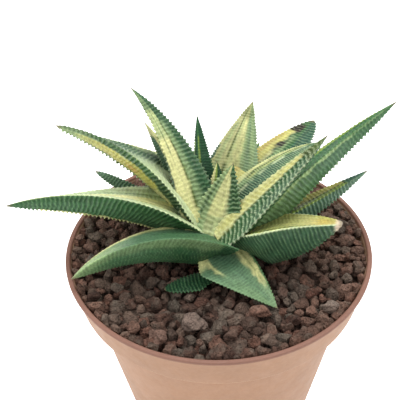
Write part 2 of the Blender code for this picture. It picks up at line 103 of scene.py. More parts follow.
def corners_of(node: str) -> tuple[np.ndarray, np.ndarray]:
    """Lowest and highest corner of a CAD node's box, in metres."""
    lowest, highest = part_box(node)
    return np.array(lowest), np.array(highest)


def put(name: str, data: bpy.types.ID) -> bpy.types.Object:
    """Make an object of a mesh, lamp or camera and link it to the scene.

    Args:
        name: Name of the object.
        data: The mesh, lamp or camera.

    Returns:
        The object.
    """
    made = bpy.data.objects.new(name, data)
    bpy.context.scene.collection.objects.link(made)
    return made


def stand_at(made: bpy.types.Object, right: np.ndarray, upward: np.ndarray, back: np.ndarray,
             place: np.ndarray) -> None:
    """Stand a lamp or a camera at a place, looking away from back.

    Args:
        made: The object.
        right: Its own X axis in the world.
        upward: Its own Y axis in the world.
        back: Its own Z axis in the world.
        place: Where it stands, metres.
    """
    grid = np.eye(4)
    grid[:3, 0], grid[:3, 1], grid[:3, 2], grid[:3, 3] = right, upward, back, place
    made.matrix_world = Matrix(grid.tolist())


# ---------------------------------------------------------------- meshes

class Skin:
    """Closed skins made of rings of points between two poles, many of them to one mesh."""

    def __init__(self, rings: np.ndarray, poles: np.ndarray) -> None:
        """Keep the rings and poles of every skin.

        Args:
            rings: Points (skins, rows, columns, 3); each row is a closed ring.
            poles: Points (skins, 2, 3) that close the first and the last ring.
        """
        self.rings = rings
        self.poles = poles
        self.values: dict[str, np.ndarray] = {}

    def carry(self, name: str, rows: np.ndarray) -> None:
        """Carry a number or a colour per ring point; a pole takes its ring's mean."""
        self.values[name] = rows

    def dye(self, tone: object, hue: object) -> None:
        """Carry the two numbers that lava skin reads, one for all skins or one to each."""
        for name, share in (("tone", tone), ("hue", hue)):
            self.carry(name, np.reshape(share, (-1, 1, 1)) * np.ones(self.rings.shape[:3]))

    def faces(self) -> tuple[np.ndarray, np.ndarray]:
        """Corner numbers of all faces.

        Returns:
            Quads (n, 4) between neighbouring rings and triangles (m, 3) at the poles.
        """
        skins, rows, columns, _ = self.rings.shape
        here = np.arange(columns)
        after = (here + 1) % columns
        row = np.arange(rows - 1)[:, None] * columns
        quads = np.stack([row + here, row + after, row + columns + after, row + columns + here], -1)
        last = (rows - 1) * columns
        first_pole, last_pole = rows * columns, rows * columns + 1
        start = np.stack([after, here, np.full(columns, first_pole)], -1)
        end = np.stack([last + here, last + after, np.full(columns, last_pole)], -1)
        offset = np.arange(skins)[:, None, None] * (rows * columns + 2)
        quads = (quads.reshape(1, -1, 4) + offset).reshape(-1, 4)
        fans = (np.concatenate([start, end])[None] + offset).reshape(-1, 3)
        return quads, fans

    def points(self) -> np.ndarray:
        """All points, skin by skin: the ring points, then the two poles."""
        skins = len(self.rings)
        return np.concatenate([self.rings.reshape(skins, -1, 3), self.poles], 1).reshape(-1, 3)

    def chart(self, quads: np.ndarray, fans: np.ndarray) -> np.ndarray:
        """Map coordinates: u goes once round the ring, v from the first pole to the last.

        A quad over the seam takes u = 1 in place of 0 there, so that the map doesn't fold back.

        Args:
            quads: Corner numbers of the quads.
            fans: Corner numbers of the triangles.

        Returns:
            u and v of every face corner, the quads' first.
        """
        _, rows, columns, _ = self.rings.shape
        per = rows * columns + 2
        corners = np.concatenate([quads.ravel(), fans.ravel()]) % per
        u = (corners % columns) / columns
        v = (corners // columns) / max(rows - 1, 1)
        square = u[:quads.size].reshape(-1, 4)
        seam = np.ptp(square, axis=1) > 0.5
        square[seam] += square[seam] < 0.25
        fan = u[quads.size:].reshape(-1, 3)
        fan[:, 2] = fan[:, 0]
        v[corners == per - 2] = 0.0
        v[corners == per - 1] = 1.0
        return np.stack([np.concatenate([square.ravel(), fan.ravel()]), np.clip(v, 0, 1)], -1)

    def inside_out(self, points: np.ndarray, quads: np.ndarray, fans: np.ndarray) -> bool:
        """Whether the faces look inwards: the enclosed volume, sum of a . (b x c), is negative.

        Args:
            points: All points.
            quads: Corner numbers of the quads, each taken as two triangles.
            fans: Corner numbers of the triangles.

        Returns:
            True when the faces have to be turned over.
        """
        triangles = np.concatenate([fans, quads[:, (0, 1, 2)], quads[:, (0, 2, 3)]])
        a, b, c = (points[triangles[:, k]] for k in range(3))
        return np.einsum("ij,ij->", a, np.cross(b, c)) < 0

    def build(self, name: str, crease: float | None = None) -> bpy.types.Object:
        """Make the object: points, faces turned outwards, values and a UV map.

        Args:
            name: Name of the object and its mesh.
            crease: Edges that fold more than this, in radians, stay sharp.

        Returns:
            The new object, linked to the scene.
        """
        points = self.points()
        quads, fans = self.faces()
        chart = self.chart(quads, fans)
        if self.inside_out(points, quads, fans):
            chart = np.concatenate([
                chart[:quads.size].reshape(-1, 4, 2)[:, ::-1].reshape(-1, 2),
                chart[quads.size:].reshape(-1, 3, 2)[:, ::-1].reshape(-1, 2)])
            quads, fans = quads[:, ::-1], fans[:, ::-1]
        mesh = bpy.data.meshes.new(name)
        mesh.vertices.add(len(points))
        mesh.vertices.foreach_set("co", points.astype(np.float32).ravel())
        corners = np.concatenate([quads.ravel(), fans.ravel()]).astype(np.int32)
        starts = np.concatenate([np.arange(len(quads)) * 4,
                                 quads.size + np.arange(len(fans)) * 3]).astype(np.int32)
        mesh.loops.add(len(corners))
        mesh.loops.foreach_set("vertex_index", corners)
        mesh.polygons.add(len(starts))
        mesh.polygons.foreach_set("loop_start", starts)
        mesh.update(calc_edges=True)
        mesh.polygons.foreach_set("use_smooth", np.ones(len(starts), dtype=bool))
        if crease is not None:
            mesh.set_sharp_from_angle(angle=crease)
        layer = mesh.uv_layers.new(name="chart")
        layer.data.foreach_set("uv", chart.astype(np.float32).ravel())
        for title, rows in self.values.items():
            self.store(mesh, title, rows)
        return put(name, mesh)

    def store(self, mesh: bpy.types.Mesh, title: str, rows: np.ndarray) -> None:
        """Put one carried value on the mesh points, as a number or a linear colour.

        Args:
            mesh: Mesh of the skins.
            title: Name that the finish reads it by.
            rows: The value at every ring point.
        """
        skins = len(self.rings)
        wide = rows.shape[3:] if rows.ndim == 4 else ()
        flat = rows.reshape((skins, -1) + wide)
        columns = self.rings.shape[2]
        ends = np.stack([flat[:, :columns].mean(1), flat[:, -columns:].mean(1)], 1)
        full = np.concatenate([flat, ends], 1).reshape((-1,) + wide)
        if wide:
            colours = np.concatenate([full, np.ones((len(full), 1))], -1)
            layer = mesh.attributes.new(title, "FLOAT_COLOR", "POINT")
            layer.data.foreach_set("color", colours.astype(np.float32).ravel())
        else:
            layer = mesh.attributes.new(title, "FLOAT", "POINT")
            layer.data.foreach_set("value", full.astype(np.float32).ravel())


def settle(piece: bpy.types.Object, node: str, finish: bpy.types.Material) -> None:
    """Dress a new piece, let it ride on the body and stand for its CAD node.

    Args:
        piece: The new object.
        node: CAD node that it replaces.
        finish: Material that it wears.
    """
    piece.data.materials.clear()
    piece.data.materials.append(finish)
    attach(piece, BODY)
    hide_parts(node)
    LOG.info("%s: %d faces, for %s", piece.name, len(piece.data.polygons), node)


# ---------------------------------------------------------------- finishes

# Sockets of the Mix node that take and give colours, which share their names with others.
COLOUR_A, COLOUR_B, COLOUR_RESULT = 6, 7, 2


class Bench:
    """Short hand for laying out the nodes of one material."""

    def __init__(self, name: str) -> None:
        """Start a material with a Principled shader and its output.

        Args:
            name: Name of the material.
        """
        self.material = bpy.data.materials.new(name)
        self.material.use_nodes = True
        self.tree = self.material.node_tree
        self.tree.nodes.clear()
        self.shader = self.tree.nodes.new("ShaderNodeBsdfPrincipled")
        output = self.tree.nodes.new("ShaderNodeOutputMaterial")
        self.tree.links.new(self.shader.outputs["BSDF"], output.inputs["Surface"])

    def node(self, kind: str, **settings: object) -> bpy.types.Node:
        """Add a node and set its properties by name.

        Args:
            kind: Blender's name of the node type.
            settings: Properties of the node.

        Returns:
            The node.
        """
        made = self.tree.nodes.new(kind)
        for key, value in settings.items():
            setattr(made, key, value)
        return made

    def plug(self, value: object, socket: bpy.types.NodeSocket) -> None:
        """Link an output into a socket, or set the socket to a constant.

        Args:
            value: An output of another node, a number or a colour.
            socket: The input that takes it.
        """
        if isinstance(value, bpy.types.NodeSocket):
            self.tree.links.new(value, socket)
        elif isinstance(value, tuple) and len(value) == 3 and socket.type == "RGBA":
            socket.default_value = (*value, 1.0)
        else:
            socket.default_value = value

    def place(self) -> bpy.types.NodeSocket:
        """Object coordinates."""
        return self.node("ShaderNodeTexCoord").outputs["Object"]

    def value(self, title: str) -> bpy.types.NodeSocket:
        """A number carried by the mesh."""
        return self.node("ShaderNodeAttribute", attribute_name=title).outputs["Fac"]

    def colour(self, title: str) -> bpy.types.NodeSocket:
        """A colour carried by the mesh."""
        return self.node("ShaderNodeAttribute", attribute_name=title).outputs["Color"]

    def noise(self, scale: float, detail: float = 3.0, rough: float = 0.55) -> bpy.types.NodeSocket:
        """Noise from 0 to 1 on object coordinates.

        Args:
            scale: Waves to a metre.
            detail: How many finer layers it has.
            rough: Strength of each finer layer.

        Returns:
            The noise.
        """
        made = self.node("ShaderNodeTexNoise")
        self.plug(self.place(), made.inputs["Vector"])
        made.inputs["Scale"].default_value = scale
        made.inputs["Detail"].default_value = detail
        made.inputs["Roughness"].default_value = rough
        return made.outputs["Fac"]

    def cells(self, scale: float) -> bpy.types.NodeSocket:
        """Distance to the nearest cell centre, on object coordinates.

        Args:
            scale: Cells to a metre.

        Returns:
            The distance.
        """
        made = self.node("ShaderNodeTexVoronoi", feature="F1")
        self.plug(self.place(), made.inputs["Vector"])
        made.inputs["Scale"].default_value = scale
        return made.outputs["Distance"]

    def span(self, value: object, first: float, last: float, start: float = 0.0,
             end: float = 1.0) -> bpy.types.NodeSocket:
        """Carry first..last to start..end, held at both ends.

        Args:
            value: The number to carry over.
            first: Value that becomes start.
            last: Value that becomes end.
            start: Result at first.
            end: Result at last.

        Returns:
            The number carried over.
        """
        made = self.node("ShaderNodeMapRange")
        for key, entry in zip(("Value", "From Min", "From Max", "To Min", "To Max"),
                              (value, first, last, start, end)):
            self.plug(entry, made.inputs[key])
        return made.outputs["Result"]

    def work_out(self, how: str, first: object, second: object) -> bpy.types.NodeSocket:
        """Two numbers added or multiplied.

        Args:
            how: ADD or MULTIPLY.
            first: First number.
            second: Second number.

        Returns:
            Their sum or product.
        """
        made = self.node("ShaderNodeMath", operation=how)
        self.plug(first, made.inputs[0])
        self.plug(second, made.inputs[1])
        return made.outputs[0]

    def add(self, first: object, second: object) -> bpy.types.NodeSocket:
        """Sum of two numbers."""
        return self.work_out("ADD", first, second)

    def times(self, first: object, second: object) -> bpy.types.NodeSocket:
        """Product of two numbers."""
        return self.work_out("MULTIPLY", first, second)

    def mix(self, share: object, first: object, second: object,
            how: str = "MIX") -> bpy.types.NodeSocket:
        """Two colours mixed by a share.

        Args:
            share: 0 for the first colour, 1 for the second.
            first: First colour.
            second: Second colour.
            how: Blend type.

        Returns:
            The mixed colour.
        """
        made = self.node("ShaderNodeMix", data_type="RGBA", blend_type=how)
        self.plug(share, made.inputs["Factor"])
        self.plug(first, made.inputs[COLOUR_A])
        self.plug(second, made.inputs[COLOUR_B])
        return made.outputs[COLOUR_RESULT]

    def shaded(self, colour: object, shade: bpy.types.NodeSocket) -> bpy.types.NodeSocket:
        """A colour made darker or lighter, times a number.

        Args:
            colour: The colour.
            shade: 1 leaves it as it is.

        Returns:
            The product.
        """
        grey = self.node("ShaderNodeCombineColor")
        for key in ("Red", "Green", "Blue"):
            self.plug(shade, grey.inputs[key])
        return self.mix(1.0, colour, grey.outputs[0], "MULTIPLY")

    def bump(self, height: object, strength: float, depth: float) -> None:
        """Roughen the shader's normal by a height field.

        Args:
            height: The height field.
            strength: Share of the effect.
            depth: Height of 1 in metres.
        """
        made = self.node("ShaderNodeBump")
        made.inputs["Strength"].default_value = strength
        made.inputs["Distance"].default_value = depth
        self.plug(height, made.inputs["Height"])
        self.plug(made.outputs["Normal"], self.shader.inputs["Normal"])

    def finish(self, colour: object, roughness: object, **others: object) -> bpy.types.Material:
        """Plug colour and roughness in and set other sockets by name.

        Args:
            colour: Base colour.
            roughness: Roughness.
            others: Values of other sockets, with _ for each space of the name.

        Returns:
            The material.
        """
        self.plug(colour, self.shader.inputs["Base Color"])
        self.plug(roughness, self.shader.inputs["Roughness"])
        for key, value in others.items():
            self.shader.inputs[key.replace("_", " ")].default_value = value
        return self.material


@dataclass(frozen=True)
class LeafSkin:
    """Succulent leaf skin: carried pigment with painted shade in the ridge grooves, pale ridge crests,
    fine mottling and bloom.
    """

    name: str
    crest: tuple[float, float, float] = linear(206, 214, 186)
    crest_share: float = 0.75
    bloom: tuple[float, float, float] = linear(150, 170, 150)
    roughness: float = 0.46

    def make(self) -> bpy.types.Material:
        """Lay out the material.

        Returns:
            Pigment mottled at two scales, with a faint bloom and the crests lightened.
        """
        bench = Bench(self.name)
        # The carried pigment is already darkened by painted shade in the ridge grooves.
        pigment = bench.colour("pigment")
        patchy = bench.span(bench.noise(420.0, 3.0), 0.3, 0.7, 0.82, 1.14)
        fine = bench.span(bench.noise(1700.0, 3.0), 0.3, 0.7, 0.80, 1.18)
        skin = bench.shaded(pigment, bench.times(patchy, fine))
        misty = bench.span(bench.noise(170.0, 2.0), 0.5, 0.8, 0.0, 0.08)
        bloomed = bench.mix(misty, skin, self.bloom)
        uneven = bench.span(bench.noise(1300.0, 3.0), 0.35, 0.65, 0.35, 1.2)
        share = bench.times(bench.times(bench.value("crest"), uneven), self.crest_share)
        colour = bench.mix(share, bloomed, self.crest)
        bench.bump(bench.noise(2400.0, 3.0), 0.25, 0.00012)
        rough = bench.span(bench.noise(600.0, 2.0), 0.3, 0.7, self.roughness - 0.05,
                           self.roughness + 0.09)
        return bench.finish(colour, rough, Specular_IOR_Level=0.2, Subsurface_Weight=0.06,
                            Subsurface_Radius=(0.6, 1.0, 0.3), Subsurface_Scale=0.0012)


@dataclass(frozen=True)
class LavaSkin:
    """Porous lava: a tone and a hue per grain, mottled, with pores darkened as painted shade and a gritty
    bump.
    """

    name: str
    dark: tuple[float, float, float]
    light: tuple[float, float, float]
    red: tuple[float, float, float] = linear(146, 96, 78)
    grey: tuple[float, float, float] = linear(118, 112, 100)
    pore_scale: float = 1100.0
    painted_pore_shade: tuple[float, float, float] = (0.014, 0.010, 0.008)

    def make(self) -> bpy.types.Material:
        """Lay out the material.

        Returns:
            Tone between dark and light, drawn to red or grey by the hue, mottled, with the
            pores sunk in it darkened as painted shade.
        """
        bench = Bench(self.name)
        tone = bench.mix(bench.value("tone"), self.dark, self.light)
        hue = bench.value("hue")
        stone = bench.mix(bench.span(hue, 0.55, 1.0, 0.0, 0.35), tone, self.red)
        stone = bench.mix(bench.span(hue, 0.45, 0.0, 0.0, 0.55), stone, self.grey)
        stone = bench.mix(bench.span(bench.noise(230.0, 3.0), 0.52, 0.7, 0.0, 0.4), stone, self.grey)
        stone = bench.shaded(stone, bench.span(bench.noise(620.0, 5.0, 0.75), 0.3, 0.7, 0.55, 1.45))
        pores = bench.span(bench.cells(self.pore_scale), 0.15, 0.45, 0.0, 1.0)
        crags = bench.span(bench.noise(420.0, 4.0, 0.7), 0.35, 0.65, 0.0, 1.0)
        grain = bench.span(bench.noise(2200.0, 3.0, 0.75), 0.35, 0.65, 0.0, 1.0)
        # Painted shade: the pores are darkened towards near black.
        colour = bench.mix(bench.span(pores, 0.0, 1.0, 0.45, 0.0), stone, self.painted_pore_shade)
        height = bench.add(bench.times(crags, 1.3), bench.times(pores, 0.5))
        height = bench.add(height, bench.times(grain, 0.35))
        bench.bump(height, 1.0, 0.0007)
        return bench.finish(colour, 0.93, Specular_IOR_Level=0.25)


@dataclass(frozen=True)
class PotPlastic:
    """Terracotta-coloured moulded plastic, redder on the lip, faintly clouded, with two thin pale lines of
    painted highlight.

    Attributes:
        name: Name of the material.
        wall: Colour of the wall and band.
        lip: Colour of the lip.
        painted_highlight: Colour of the two thin pale lines of painted highlight.
        rim_top: Height of the rim, metres.
        lip_line: Height of the painted highlight line under the lip.
        band_line: Height of the painted highlight line at the band's foot.
        line_half: Half the height of a painted highlight line.
        line_core: Half the height of its full colour.
        lip_from: How far under the rim the lip colour starts.
        lip_full: How far under the rim it is full.
    """

    name: str = "terracotta_plastic"
    wall: tuple[float, float, float] = linear(152, 116, 90)
    lip: tuple[float, float, float] = linear(126, 90, 76)
    painted_highlight: tuple[float, float, float] = linear(228, 200, 172)
    rim_top: float = 0.092
    lip_line: float = 0.0906
    band_line: float = 0.0788
    line_half: float = 0.0004
    line_core: float = 0.0001
    lip_from: float = 0.0010
    lip_full: float = 0.0006

    def make(self) -> bpy.types.Material:
        """Lay out the material.

        Returns:
            Wall colour clouded by noise, thin pale lines of painted highlight at the band's foot
            and under the lip, and the lip colour at the very top.
        """
        bench = Bench(self.name)
        height = bench.node("ShaderNodeSeparateXYZ")
        bench.plug(bench.place(), height.inputs[0])
        level = height.outputs["Z"]
        base = self.wall
        # Painted highlights: thin pale lines at the band's foot and under the lip, where the edges would
        # catch the light.
        for line, share in ((self.band_line, 0.9), (self.lip_line, 0.4)):
            painted_highlight = bench.times(bench.span(level, line - self.line_half, line - self.line_core),
                               bench.span(level, line + self.line_half, line + self.line_core))
            base = bench.mix(bench.times(painted_highlight, share), base, self.painted_highlight)
        lip = bench.span(level, self.rim_top - self.lip_from, self.rim_top - self.lip_full)
        base = bench.mix(lip, base, self.lip)
        cloud = bench.span(bench.noise(60.0, 5.0, 0.6), 0.35, 0.65, 0.93, 1.05)
        speck = bench.span(bench.noise(900.0, 3.0, 0.6), 0.3, 0.7, 0.95, 1.05)
        colour = bench.shaded(base, bench.times(cloud, speck))
        bench.bump(bench.noise(1500.0, 3.0), 0.15, 0.00008)
        rough = bench.span(bench.noise(300.0, 3.0), 0.3, 0.7, 0.52, 0.66)
        return bench.finish(colour, rough, Specular_IOR_Level=0.3)


@dataclass(frozen=True)
class PeatSoil:
    """Dark crumbly peat."""

    name: str = "peat"

    def make(self) -> bpy.types.Material:
        """Lay out the material.

        Returns:
            Dark brown crumbs with lighter fibres.
        """
        bench = Bench(self.name)
        crumbs = bench.span(bench.noise(700.0, 5.0, 0.7), 0.3, 0.7)
        colour = bench.mix(crumbs, linear(38, 27, 20), linear(92, 68, 50))
        bench.bump(crumbs, 0.8, 0.0006)
        return bench.finish(colour, 0.95)


@dataclass(frozen=True)
class StemFlesh:
    """Pale fleshy stem and roots, browner where the skin is old."""

    name: str = "stem_flesh"

    def make(self) -> bpy.types.Material:
        """Lay out the material.

        Returns:
            Cream flesh with brown bark patches.
        """
        bench = Bench(self.name)
        bark = bench.span(bench.noise(380.0, 4.0, 0.6), 0.4, 0.7)
        colour = bench.mix(bark, linear(196, 178, 138), linear(122, 92, 64))
        bench.bump(bench.noise(1200.0, 3.0), 0.4, 0.0002)
        return bench.finish(colour, 0.7)


@dataclass(frozen=True)
class FloorPaper:
    """Pale seamless studio paper, lit a little from within so that it stays white."""

    name: str = "studio_paper"

    def make(self) -> bpy.types.Material:
        """Lay out the material.

        Returns:
            Near white, very faint tooth.
        """
        bench = Bench(self.name)
        tooth = bench.span(bench.noise(40.0, 2.0), 0.3, 0.7)
        colour = bench.mix(tooth, (0.93, 0.93, 0.93), (0.95, 0.95, 0.95))
        return bench.finish(colour, 0.9, Emission_Color=(1.0, 1.0, 1.0, 1.0), Emission_Strength=0.6)


# ---------------------------------------------------------------- leaves

class Tone(Enum):
    """Pigments of the leaf skin, as linear colours."""

    DEEP = linear(26, 66, 40)
    GREEN = linear(48, 94, 52)
    SEA = linear(44, 88, 70)
    GREY = linear(84, 116, 88)
    PALE = linear(140, 164, 112)
    MINT = linear(190, 202, 158)
    CREAM = linear(200, 199, 138)
    YELLOW = linear(186, 180, 96)
    GOLD = linear(194, 158, 82)
    PINK = linear(184, 184, 130)
    OLIVE = linear(78, 94, 38)
    LEAFY = linear(126, 148, 66)
    TIP = linear(116, 96, 74)
    DRY = linear(226, 204, 178)
    NEAR_BLACK = linear(34, 14, 18)


class Side(Enum):
    """Side of a leaf: the upper face, or the keeled underside."""

    UPPER = 1
    UNDER = 0


@dataclass(frozen=True)
class Stripe:
    """A band of pigment along one side of a leaf.

    Across runs from -1 at the left margin, seen from the stem outwards, to 1 at the right one;
    the keel of the underside is 0. Along runs from 0 at the stem to 1 at the tip. A limit at
    the very end of a run, such as left = -1, means that the band has no edge there.

    Attributes:
        tone: Pigment.
        side: Side of the leaf that it lies on.
        left: Left edge, across.
        right: Right edge, across.
        start: Where it begins, along.
        end: Where it ends, along.
        lean: How far it moves across over the length of the leaf.
        share: How much of the pigment below it hides.
        soft: Width of its two side edges, across.
        fade: Length of its two ends, along.
    """

    tone: Tone
    side: Side
    left: float
    right: float
    start: float = 0.0
    end: float = 1.0
    lean: float = 0.0
    share: float = 1.0
    soft: float = 0.06
    fade: float = 0.04

    def cover(self, across: np.ndarray, along: np.ndarray, upper: np.ndarray,
              seed: int) -> np.ndarray:
        """How far the band covers each point.

        The product of four smooth steps, one for each edge; the edges wander by soft waves
        and lean across by lean times along.

        Args:
            across: Across parameter of every point.
            along: Along parameter of every point.
            upper: 1 on the upper face, 0 on the underside.
            seed: Seed of the waves.

        Returns:
            Cover from 0 to 1.
        """
        wander = across + 0.035 * wobble(across * 1.5, along * 9.0, seed) - self.lean * along
        reach = along + 0.012 * wobble(across * 2.0, along * 3.0, seed + 7)
        edge, ends = 1.0, 1.0
        if self.left > -1:
            edge = smooth((wander - self.left) / self.soft + 0.5)
        if self.right < 1:
            edge = edge * smooth((self.right - wander) / self.soft + 0.5)
        if self.start > 0:
            ends = smooth((reach - self.start) / self.fade + 0.5)
        if self.end < 1:
            ends = ends * smooth((self.end - reach) / self.fade + 0.5)
        side = upper if self.side is Side.UPPER else 1.0 - upper
        return edge * ends * side * self.share


@dataclass(frozen=True)
class Ribs:
    """Cross ridges of one leaf, the washboard pattern.

    Attributes:
        pitch: Distance between ridges, mm.
        height: Height of a ridge, mm.
        tooth: How far a ridge stands out as a tooth on margins and keel, mm.
        upper: Paleness of the crests on the upper face.
        under: Paleness of the crests on the underside.
        slant: How far a ridge slopes back towards the margins, mm per mm.
        broken: 0 for whole ridges, 1 for rows of bumps.
        dark: How much painted shade darkens the grooves.
        rim: Paleness of the margins.
    """

    pitch: float = 1.6
    height: float = 0.3
    tooth: float = 0.45
    upper: float = 0.1
    under: float = 0.12
    slant: float = 0.12
    broken: float = 0.45
    dark: float = 0.3
    rim: float = 0.4


ROW_STEP = 0.23          # distance between the rings of a leaf, mm
TIP_END = 0.9995         # where the last ring stands, along
MARGIN = 0.32            # half thickness of a leaf's rounded margin, mm
SLIM = 2.2               # half width under which margin and ridges fade out, mm
DRY_TIP = (0.955, 0.04)  # where the dry tip begins and over what length, along
BRIGHT = (0.10, 0.35)    # mean pigment from which it counts as bright, and over what range
CALM = 0.6               # how much lower and fainter the ridges are on bright pigment
SHAKE = (0.15, 0.07)     # how far slow and quick waves shift the ridges, in ridges
CLOSING = 0.12           # how much closer together the ridges stand towards the tip
KEEL_HALF = 0.07         # half width of the keel, across
KEEL_TOOTH = 0.8         # size of the keel's teeth against those of the margins
STREAK = 0.13            # how much lighter and darker the lengthwise streaks are


@dataclass(frozen=True)
class Leaf:
    """One leaf: a keeled section carried along a curving midline.

    Lengths are millimetres and angles degrees. The heading turns from azimuth by sweep, and
    rises from rise[0] to rise[1]; roll turns the section about the midline.

    Attributes:
        name: Name of its CAD node.
        base: Where the midline starts.
        azimuth: Heading at the start, counter-clockwise from +X.
        sweep: How far the heading turns.
        rise: Rise of the heading at the start and the end.
        length: Length of the midline.
        width: Width.
        depth: Depth of the keel.
        roll: Turn of the section at the start and the end.
        bend: Under 1, the turning comes early; over 1, late.
        taper: How far out the width holds before it narrows.
        point: 1 ends in a straight-sided point, less is blunter.
        keel_taper: How far out the keel holds its depth.
        belly: 1 makes the underside a sharp keel, 2 a round one.
        hollow: Hollow of the upper face, as a share of the half width.
        neck: Share of the width that is left where it joins the stem.
        reach: Length of the neck, along.
        upper: Pigment of the upper face.
        under: Pigment of the underside.
        skin: Material slot, which names its finish.
        ribs: Its cross ridges.
        stripes: Bands of pigment, the last one on top.
        seed: Picks its waves.
    """

    name: str
    base: tuple[float, float, float]
    azimuth: float
    sweep: float
    rise: tuple[float, float]
    length: float
    width: float
    depth: float
    roll: tuple[float, float] = (0.0, 0.0)
    bend: float = 1.0
    taper: float = 1.25
    point: float = 0.95
    keel_taper: float = 1.7
    belly: float = 1.35
    hollow: float = 0.12
    neck: float = 0.75
    reach: float = 0.22
    upper: Tone = Tone.GREEN
    under: Tone = Tone.GREEN
    skin: str = "leaf_green"
    ribs: Ribs = Ribs()
    stripes: tuple[Stripe, ...] = ()
    seed: int = 1

    def midline(self, along: np.ndarray) -> tuple[np.ndarray, np.ndarray, np.ndarray]:
        """Midline points and the section's two axes.

        With t = along ^ bend, the heading has azimuth a = azimuth + sweep t and rise
        r = rise0 + (rise1 - rise0) t. The midline is base + length times its integral. The side
        axis is (sin a, -cos a, 0) and the up axis their cross product, both turned by the roll.

        Args:
            along: Rising values from 0 to 1.

        Returns:
            Points, side axes pointing right and up axes, each (n, 3), in mm.
        """
        turned = along ** self.bend
        a = np.radians(self.azimuth + self.sweep * turned)
        r = np.radians(self.rise[0] + (self.rise[1] - self.rise[0]) * turned)
        heading = np.stack([np.cos(r) * np.cos(a), np.cos(r) * np.sin(a), np.sin(r)], -1)
        step = 0.5 * (heading[1:] + heading[:-1]) * np.diff(along)[:, None]
        path = np.concatenate([np.zeros((1, 3)), np.cumsum(step, 0)]) * self.length
        side = np.stack([np.sin(a), -np.cos(a), 0 * a], -1)
        over = np.cross(side, heading)
        roll = np.radians(self.roll[0] + (self.roll[1] - self.roll[0]) * along)[:, None]
        return (path + np.array(self.base), side * np.cos(roll) + over * np.sin(roll),
                over * np.cos(roll) - side * np.sin(roll))

    def half_width(self, along: np.ndarray) -> np.ndarray:
        """Half width: w/2 (1 - s^taper)^point, drawn in at the neck, plus 0.25 (1 - s)."""
        drawn = self.neck + (1 - self.neck) * smooth(along / self.reach)
        return 0.5 * self.width * (1 - along ** self.taper) ** self.point * drawn + 0.25 * (1 - along)

    def half_depth(self, along: np.ndarray) -> np.ndarray:
        """Depth of the keel: d (1 - s^k)^0.9, drawn in at the neck, plus 0.3 (1 - 0.6 s).

        Args:
            along: Along parameter, s.

        Returns:
            Depths, mm.
        """
        neck = min(0.45, self.neck)
        drawn = neck + (1 - neck) * smooth(along / (self.reach * 0.9))
        return self.depth * (1 - along ** self.keel_taper) ** 0.9 * drawn + 0.3 * (1 - 0.6 * along)

    def section(self) -> tuple[np.ndarray, np.ndarray]:
        """Across parameter round the section, close-set at the margins and the keel.

        With u even from -1 to 1, the upper face has x = sin(pi u / 2) and the underside
        x = u - 0.7 sin(2 pi u) / (2 pi).

        Returns:
            Across values of the columns and 1 for the upper face or 0 for the underside.
        """
        above = 20 + 2 * int(self.width / 5)
        below = 28 + 2 * int(self.width / 4)
        face = np.sin(0.5 * math.pi * np.linspace(-1, 1, above))
        walk = np.linspace(1, -1, below + 2)[1:-1]
        belly = walk - 0.7 * np.sin(math.tau * walk) / math.tau
        return np.concatenate([face, belly]), np.concatenate([np.ones(above), np.zeros(below)])

    def crests(self, along: np.ndarray, across: np.ndarray, wide: np.ndarray,
               upper: np.ndarray) -> np.ndarray:
        """Ridge profile from 0 in a groove to 1 on a crest.

        (0.5 + 0.5 cos(2 pi p)) ^ 1.4 with the phase p = distance / pitch. The distance is
        length (s + 0.12 s^2), bent back towards the margins by the slant, and the phase is
        shaken by slow and quick waves.

        Args:
            along: Along parameter of every point.
            across: Across parameter of every point.
            wide: Half width at every point, mm.
            upper: 1 on the upper face.

        Returns:
            The profile at every point.
        """
        ribs = self.ribs
        run = self.length * (along + CLOSING * along * along)
        lean = ribs.slant * np.abs(across) * wide
        slow, quick = SHAKE
        shake = slow * wobble(across * 2.2 + upper * 5, along * self.length / 8.0, self.seed + 3)
        shake = shake + quick * wobble(across * 6.0, along * self.length / 3.5, self.seed + 4)
        phase = (run + lean) / ribs.pitch + shake
        return (0.5 + 0.5 * np.cos(math.tau * phase)) ** 1.4

    def surface(self) -> Skin:
        """The whole leaf as rings across its midline.

        Upper face y = -hollow h (1 - x^2) + e, underside y = -d (1 - |x|^belly) - e with a
        rounded margin e = 0.32 sqrt(1 - x^12) mm, thinner towards the tip. Ridges then push
        points out along the surface normal, and teeth push margins and keel outwards at each
        crest.

        Returns:
            The skin with its pigment, darkened by painted shade in the grooves, and crest values, in
            metres.
        """
        s = np.linspace(0.0, TIP_END, int(self.length / ROW_STEP))
        x, face = self.section()
        path, side, over = self.midline(s)
        h, d = self.half_width(s)[:, None], self.half_depth(s)[:, None]
        fade = smooth(h / SLIM)
        bull = MARGIN * np.sqrt(np.maximum(1 - x ** 12, 0)) * (0.25 + 0.75 * fade)
        top = -self.hollow * h * (1 - x * x) + bull
        bottom = -d * (1 - np.abs(x) ** self.belly) - bull
        y = np.where(face > 0.5, top, bottom)
        points = path[:, None] + side[:, None] * (h * x)[..., None] + over[:, None] * y[..., None]
        # Outward normals, from the directions along the leaf and round it.
        run = np.gradient(points, axis=0)
        turn = np.roll(points, -1, 1) - np.roll(points, 1, 1)
        outward = unit(np.cross(turn, run))
        middle = points.mean(1, keepdims=True)
        if np.sum(outward * (points - middle)) < 0:
            outward = -outward
        along, across, upper, wide = np.broadcast_arrays(s[:, None], x, face, h)
        # Ridges, broken into bumps by gaps, and calmer where the pigment is bright.
        crest = self.crests(along, across, wide, upper)
        gap = smooth(1.1 + 1.7 * wobble(across * 7.0, along * self.length / 1.8, self.seed + 11))
        whole = 1 - self.ribs.broken * (1 - gap)
        pigment = self.pigment(along, across, upper)
        bright = smooth((pigment.mean(-1) - BRIGHT[0]) / BRIGHT[1])
        lift = self.ribs.height * (crest - 0.3) * whole * fade * (1 - CALM * bright)
